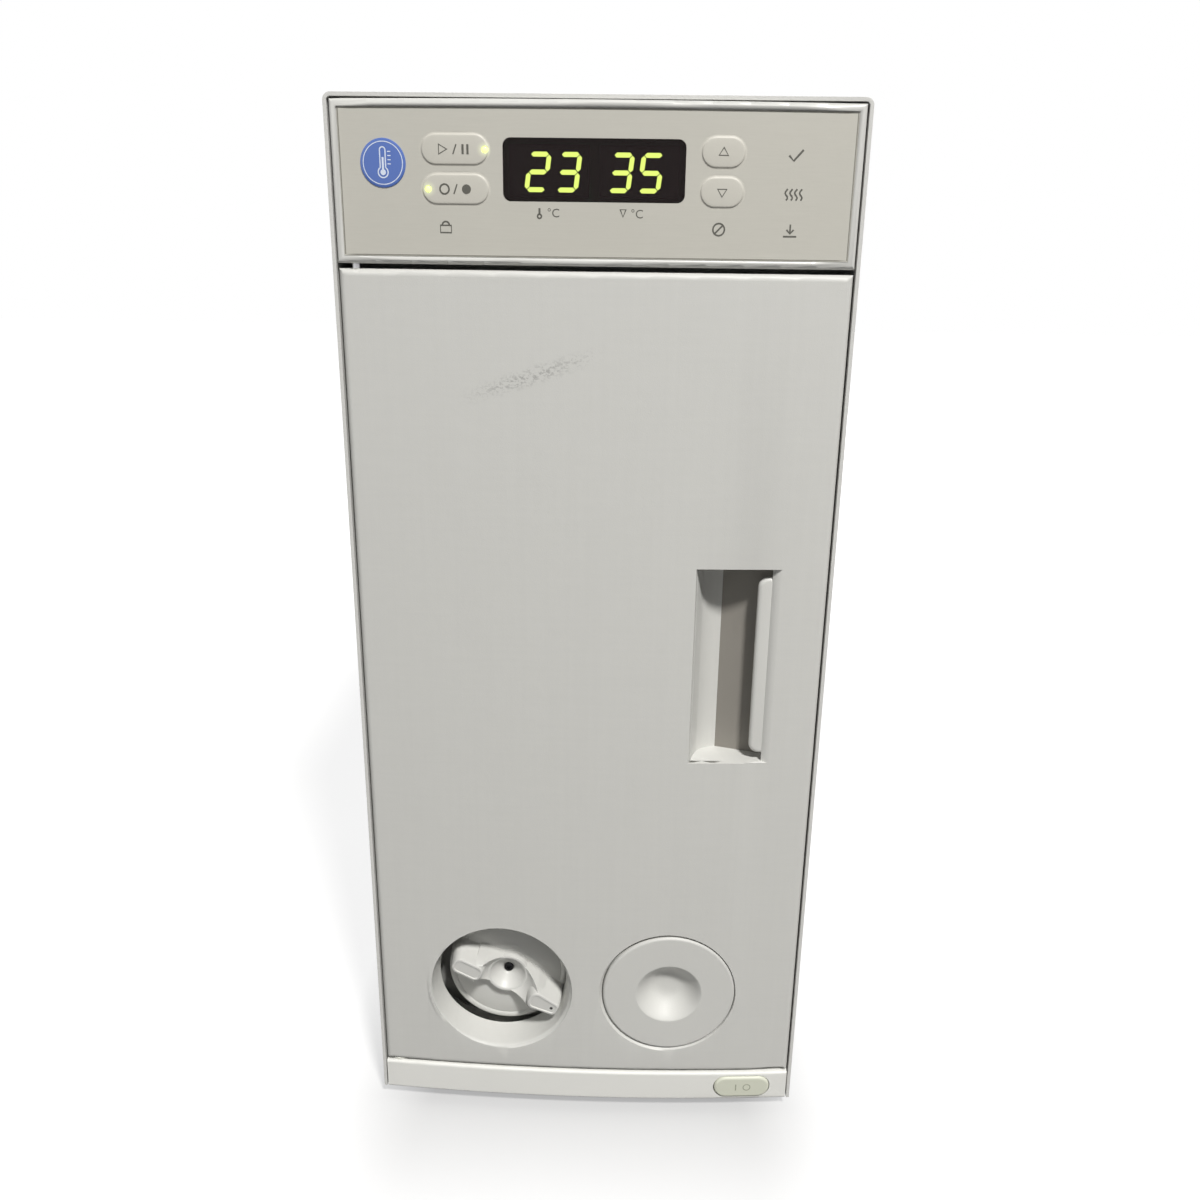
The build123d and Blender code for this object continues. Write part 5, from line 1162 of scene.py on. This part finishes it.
class OVEN_OT_keys(bpy.types.Operator):
    """Four cushioned pill keys with their printed signs"""

    bl_idname = "oven.keys"
    bl_label = "Keys"

    def execute(self, context):
        lamps = [middle(*box) for box in islands("indicator_lamps")]
        finish = key_finish(lamps)
        ink = printed("key_ink", (0.09, 0.088, 0.075))
        lip, reach = 0.8 * MM, 1.5
        for node in ("upper_left_key", "lower_left_key", "up_key", "down_key"):
            low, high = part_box(node)
            x, z = middle(low, high)
            width, height = high.x - low.x - 2 * lip, high.z - low.z - 2 * lip
            key = loose(f"{node}_cap", key_cushion(x, z, width, height, high.y), finish, 50.0)
            for lamp in lamps:
                if abs(lamp[0] - x) < width / 2 and abs(lamp[1] - z) < height / 2:
                    deep = (high.y - low.y) / MM + 2.0
                    hole = turned(lamp, low.y, [(0.0, -2.0), (reach, -2.0), (reach, deep), (0.0, deep)], 32)
                    cut(key, loose("lamp_hole", hole))
                    shaded(key.data, 50.0)
            seat(key, body_name(node), (node,))
            piece(f"{node}_sign", key_signs(node, x, z), ink, body_name(node), smooth=0.0)
        return {"FINISHED"}


# ---------------------------------------------------------------- panel


def film_finish():
    """Panel film: beige grey with fine horizontal brush lines"""
    base = colours().film
    finish = Finish("panel_film", base, 0.42)
    lines = finish.noise(1500.0, 3.0, (0.02, 1.0, 1.0), rough=0.7)
    shade = finish.shades(lines * 0.6 + finish.noise(26.0, 3.0) * 0.4, base, 0.93, 1.07)
    return finish.skin(shade, lines * 0.2 + 0.32, lines, 0.012)


def panel_signs(bm):
    """Small line signs on the film, in place of words; sizes in mm"""
    line = sizes().print_line

    def strip(x, z, points, width=1.0, closed=False):
        printed_line(bm, [((x + u) * MM, (z + v) * MM) for u, v in points], line * width, film, closed)

    def ring(x, z, radius, sweep=360.0):
        points = round_line(x * MM, z * MM, radius * MM, 0.0, sweep)
        printed_line(bm, points, line, film, sweep >= 360.0)

    # padlock below the left keys
    strip(-62.7, 460.4, [(-2.3, -2.0), (2.3, -2.0), (2.3, 0.9), (-2.3, 0.9)], closed=True)
    ring(-62.7, 461.3, 1.5, 180.0)
    # slashed ring below the right keys
    ring(51.6, 461.0, 2.4)
    strip(51.6, 461.0, [(-1.6, -1.6), (1.6, 1.6)])
    # tick, four waves and an arrow down to a bar on the right
    strip(82.0, 490.0, [(-2.8, 0.0), (-0.8, -2.0), (3.0, 2.2)], 1.25)
    for x in (79.0, 81.0, 83.0, 85.0):
        strip(x, 475.0, [(0.55 * math.sin(i * 0.9), i * 0.55 - 2.2) for i in range(9)])
    strip(81.5, 461.0, [(0.0, 2.4), (0.0, -1.2)])
    strip(81.5, 461.0, [(-1.5, 0.3), (0.0, -1.3), (1.5, 0.3)])
    strip(81.5, 461.0, [(-2.8, -2.4), (2.8, -2.4)])
    # thermometer and pointer before the two degree signs
    strip(-23.2, 466.6, [(0.0, -0.6), (0.0, 1.9)], 1.2)
    ring(-23.2, 465.3, 0.8)
    strip(11.6, 466.8, [(-1.2, 1.5), (1.2, 1.5), (0.0, -1.4)], closed=True)


def lettering(bm, text, x, z, height):
    """Text as a thin solid on the film, its middle at (x, z)"""
    curve = bpy.data.curves.new("text", "FONT")
    curve.body = text
    curve.size = height / 0.7
    curve.align_x = "CENTER"
    curve.resolution_u = 3
    obj = bpy.data.objects.new("text", curve)
    bpy.context.scene.collection.objects.link(obj)
    graph = bpy.context.evaluated_depsgraph_get()
    mesh = bpy.data.meshes.new_from_object(obj.evaluated_get(graph))
    flat = bmesh.new()
    flat.from_mesh(mesh)
    bmesh.ops.remove_doubles(flat, verts=flat.verts, dist=0.002 * MM)
    made = bmesh.ops.extrude_face_region(flat, geom=flat.faces[:])
    lifted = {v for v in made["geom"] if isinstance(v, bmesh.types.BMVert)}
    for vert in flat.verts:
        px, pz = x + vert.co.x, z - height / 2 + vert.co.y
        vert.co = (px, film(px) - (PROUD if vert in lifted else 0.0), pz)
    outward(flat).to_mesh(mesh)
    flat.free()
    bm.from_mesh(mesh)
    bpy.data.objects.remove(obj)


def badge_glyph(x, z):
    """Ring and thermometer on the badge"""
    bm = bmesh.new()

    def above(lift):
        return lambda px: film(px) - lift * MM

    dome = above(0.47)
    printed_line(bm, round_line(x, z, 8.3 * MM, steps=64), 0.35 * MM, above(0.43), True)
    bulb, top, half = z - 3.6 * MM, z + 5.0 * MM, 1.15 * MM
    angle = math.degrees(math.asin(half / (2.1 * MM)))
    outline = round_line(x, bulb, 2.1 * MM, 90.0 + angle, 360.0 - 2 * angle, 30)
    outline += [(x + half, top)] + round_line(x, top, half, 0.0, 180.0, 12)
    printed_line(bm, outline, 0.5 * MM, dome, True)
    plate(bm, round_line(x, bulb, 1.15 * MM, steps=24), dome)
    left, right, upper = x - 0.4 * MM, x + 0.4 * MM, z + 2.2 * MM
    plate(bm, [(left, bulb), (right, bulb), (right, upper), (left, upper)], dome, PROUD * 1.2)
    for step in range(4):
        mark = z + (-0.4 + 1.6 * step) * MM
        printed_line(bm, [(x + 2.0 * MM, mark), (x + 3.4 * MM, mark)], 0.4 * MM, dome)
    return bm


class OVEN_OT_panel(bpy.types.Operator):
    """Panel frame, its film, the printed signs and the round badge"""

    bl_idname = "oven.panel"
    bl_label = "Control panel"

    def execute(self, context):
        dress("panel_bezel", moulded("bezel_moulding", colours().bezel, 0.36, Coat_Weight=0.3), angle=32.0)
        dress("panel_overlay", film_finish(), angle=32.0)
        bm = bmesh.new()
        panel_signs(bm)
        for x in (-17.4 * MM, 17.4 * MM):
            lettering(bm, "°C", x, 466.7 * MM, 3.4 * MM)
        ink = printed("panel_ink", (0.09, 0.088, 0.075))
        piece("panel_signs", bm, ink, CABINET, smooth=0.0)

        low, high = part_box("panel_overlay")
        inset, steps = 0.45 * MM, 48
        x0, x1, z0, z1 = low.x + inset, high.x - inset, low.z + inset, high.z - inset
        edge = [(x0 + (x1 - x0) * i / steps, z0) for i in range(steps + 1)]
        edge += [(x1 - (x1 - x0) * i / steps, z1) for i in range(steps + 1)]
        bm = bmesh.new()
        printed_line(bm, edge, 0.5 * MM, film, True)
        ink = printed("border_ink", (0.20, 0.195, 0.17))
        piece("film_border", bm, ink, CABINET, smooth=0.0)

        x, z, radius = -88.3 * MM, 485.4 * MM, sizes().badge_radius
        bm = bmesh.new()
        loops = []
        for reach, lift in ((1.0, 0.0), (1.0, 0.22), (0.97, 0.34), (0.9, 0.40), (0.6, 0.44), (0.3, 0.46)):
            circle = round_line(x, z, radius * reach, steps=64)
            loops.append([(px, film(px) - lift * MM, pz) for px, pz in circle])
        rings(bm, loops)
        blue = moulded("badge_blue", colours().badge, 0.3, grain=0.0, uneven=0.05, Coat_Weight=0.5)
        piece("badge_disc", outward(bm), blue, CABINET, smooth=50.0)
        ink = printed("badge_ink", (0.62, 0.68, 0.82))
        piece("badge_glyph", badge_glyph(x, z), ink, CABINET, smooth=0.0)
        return {"FINISHED"}


class OVEN_OT_power_button(bpy.types.Operator):
    """Pill button in the rail with its on and off sign"""

    bl_idname = "oven.power_button"
    bl_label = "Power button"

    def execute(self, context):
        dress("power_button", moulded("button_moulding", colours().button, 0.45), angle=40.0)
        x, z = middle(*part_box("power_button"))
        bm = bmesh.new()

        def front(px):
            return bow(px) - 1.01 * MM

        bar = x - 3.2 * MM
        printed_line(bm, [(bar, z - 2.0 * MM), (bar, z + 2.0 * MM)], 0.6 * MM, front)
        printed_line(bm, round_line(x + 2.8 * MM, z, 1.9 * MM), 0.5 * MM, front, True)
        ink = printed("button_ink", (0.30, 0.31, 0.24))
        piece("power_signs", bm, ink, body_name("power_button"), smooth=0.0)
        return {"FINISHED"}


# ---------------------------------------------------------------- inside


class OVEN_OT_chamber(bpy.types.Operator):
    """Liner, baffle, heater, clips, tray, probe and the drain"""

    bl_idname = "oven.chamber"
    bl_label = "Oven chamber"

    def execute(self, context):
        dress("oven_liner", brushed("liner_steel", (0.60, 0.60, 0.59), "Y", 0.38))
        dress("air_baffle", brushed("baffle_steel", (0.64, 0.64, 0.63), "Z", 0.34))
        dress("heater_element", plated("heater_sheath", (0.22, 0.17, 0.14), 0.45))
        dress("column_clips", moulded("clip_plastic", (0.80, 0.80, 0.76), 0.4), 0.3, 40.0)
        dress("drip_tray", moulded("tray_plastic", (0.66, 0.67, 0.66), 0.4), 0.3)
        dress("drain_pipe", moulded("pipe_plastic", (0.72, 0.72, 0.68), 0.35))
        dress("leak_sensor thermal_cutout", moulded("black_plastic", (0.015, 0.015, 0.015), 0.45))
        dress("temperature_probe", brushed("probe_steel", (0.66, 0.66, 0.65), "Z", 0.28))
        dress("fan_motor", painted("motor_paint", (0.02, 0.02, 0.022), 0.4, 0.05))
        return {"FINISHED"}


class OVEN_OT_fan(bpy.types.Operator):
    """Squirrel-cage fan wheel"""

    bl_idname = "oven.fan"
    bl_label = "Fan wheel"

    def execute(self, context):
        low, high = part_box("fan_wheel")
        x, z = middle(low, high)
        width = 18.0 * MM
        values = {
            "Radius": (high.x - low.x) / 2,
            "Width": width,
            "Direction": (math.radians(90.0), 0.0, 0.0),
            "Material": plated("fan_metal", (0.66, 0.66, 0.67), 0.35).material,
        }
        fan_tree().grow("fan_cage", [(x, low.y + width, z)], values, "fan", "aluminium", "fan_wheel")
        start = low.y + width - MM
        deep = (high.y - start) / MM
        shaft = turned((x, z), start, [(0.0, 0.0), (3.0, 0.0), (3.0, deep), (0.0, deep)], 32)
        piece("fan_shaft", shaft, brushed("shaft_steel", (0.6, 0.6, 0.6), "Y", 0.3), "fan")
        return {"FINISHED"}


class OVEN_OT_electrics(bpy.types.Operator):
    """Boards, power supply, inlet, fuse drawer and terminals"""

    bl_idname = "oven.electrics"
    bl_label = "Electrics"

    def execute(self, context):
        dress("control_board main_board", circuit("green_board", (0.02, 0.12, 0.05)))
        dress("board_pillars", plated("brass_pillar", (0.62, 0.45, 0.18), 0.3))
        dress("power_supply", brushed("supply_case", (0.62, 0.62, 0.63), "Y", 0.4))
        black = moulded("inlet_plastic", (0.018, 0.018, 0.018), 0.42)
        dress("power_inlet", black)
        dress("fuse_drawer", black, 0.3)
        dress("power_switch", black)
        dress("signal_terminals", moulded("terminal_green", (0.02, 0.22, 0.07), 0.4))
        return {"FINISHED"}


class OVEN_OT_screws(bpy.types.Operator):
    """All screws with cross recesses, and the hinge pins"""

    bl_idname = "oven.screws"
    bl_label = "Screws and pins"

    def execute(self, context):
        tree = screw_tree()
        steel = plated("bright_screw", (0.60, 0.60, 0.61), 0.25)
        # node, body, head radius and height in mm, and 1 where the heads face the back
        for node, body, radius, head, behind in (
            ("door_screws", "door", 3.0, 1.4 * MM, 1), ("clip_screws", CABINET, 2.6, 1.6 * MM, 0)
        ):
            points = []
            for low, high in islands(node):
                x, z = middle(low, high)
                points.append((x, high.y - head if behind else low.y + head, z))
            values = {
                "Head radius": radius * MM,
                "Head height": head,
                "Shank length": high.y - low.y - head,
                "Direction": (math.radians(-90.0 if behind else 90.0), 0.0, 0.0),
                "Material": steel.material,
            }
            tree.grow(f"{node}_cross", points, values, body, "screw_steel", node)
        dress("cover_screws foot_screws hinge_pins", steel)
        return {"FINISHED"}


class OVEN_PT_panel(bpy.types.Panel):
    """Lists the column oven's pieces"""

    bl_label = "Column Oven"
    bl_idname = "OVEN_PT_panel"
    bl_space_type = "VIEW_3D"
    bl_region_type = "UI"
    bl_category = "Column Oven"

    def draw(self, context):
        for group in (context.scene.oven_sizes, context.scene.oven_colours):
            for name in group.__annotations__:
                self.layout.prop(group, name)
        for step in STEPS:
            self.layout.operator(step.bl_idname)


STEPS = (
    OVEN_OT_stage, OVEN_OT_casing, OVEN_OT_door, OVEN_OT_handle, OVEN_OT_plug, OVEN_OT_knob, OVEN_OT_panel,
    OVEN_OT_display, OVEN_OT_lamps, OVEN_OT_keys, OVEN_OT_power_button, OVEN_OT_chamber, OVEN_OT_fan,
    OVEN_OT_electrics, OVEN_OT_screws,
)
CLASSES = (OvenSizes, OvenColours, *STEPS, OVEN_PT_panel)


def register():
    for item in CLASSES:
        bpy.utils.register_class(item)
    bpy.types.Scene.oven_sizes = bpy.props.PointerProperty(type=OvenSizes)
    bpy.types.Scene.oven_colours = bpy.props.PointerProperty(type=OvenColours)


def unregister():
    del bpy.types.Scene.oven_colours
    del bpy.types.Scene.oven_sizes
    for item in reversed(CLASSES):
        bpy.utils.unregister_class(item)


def main():
    register()
    for step in STEPS:
        group, name = step.bl_idname.split(".")
        getattr(getattr(bpy.ops, group), name)()


if __name__ == "__main__":
    main()
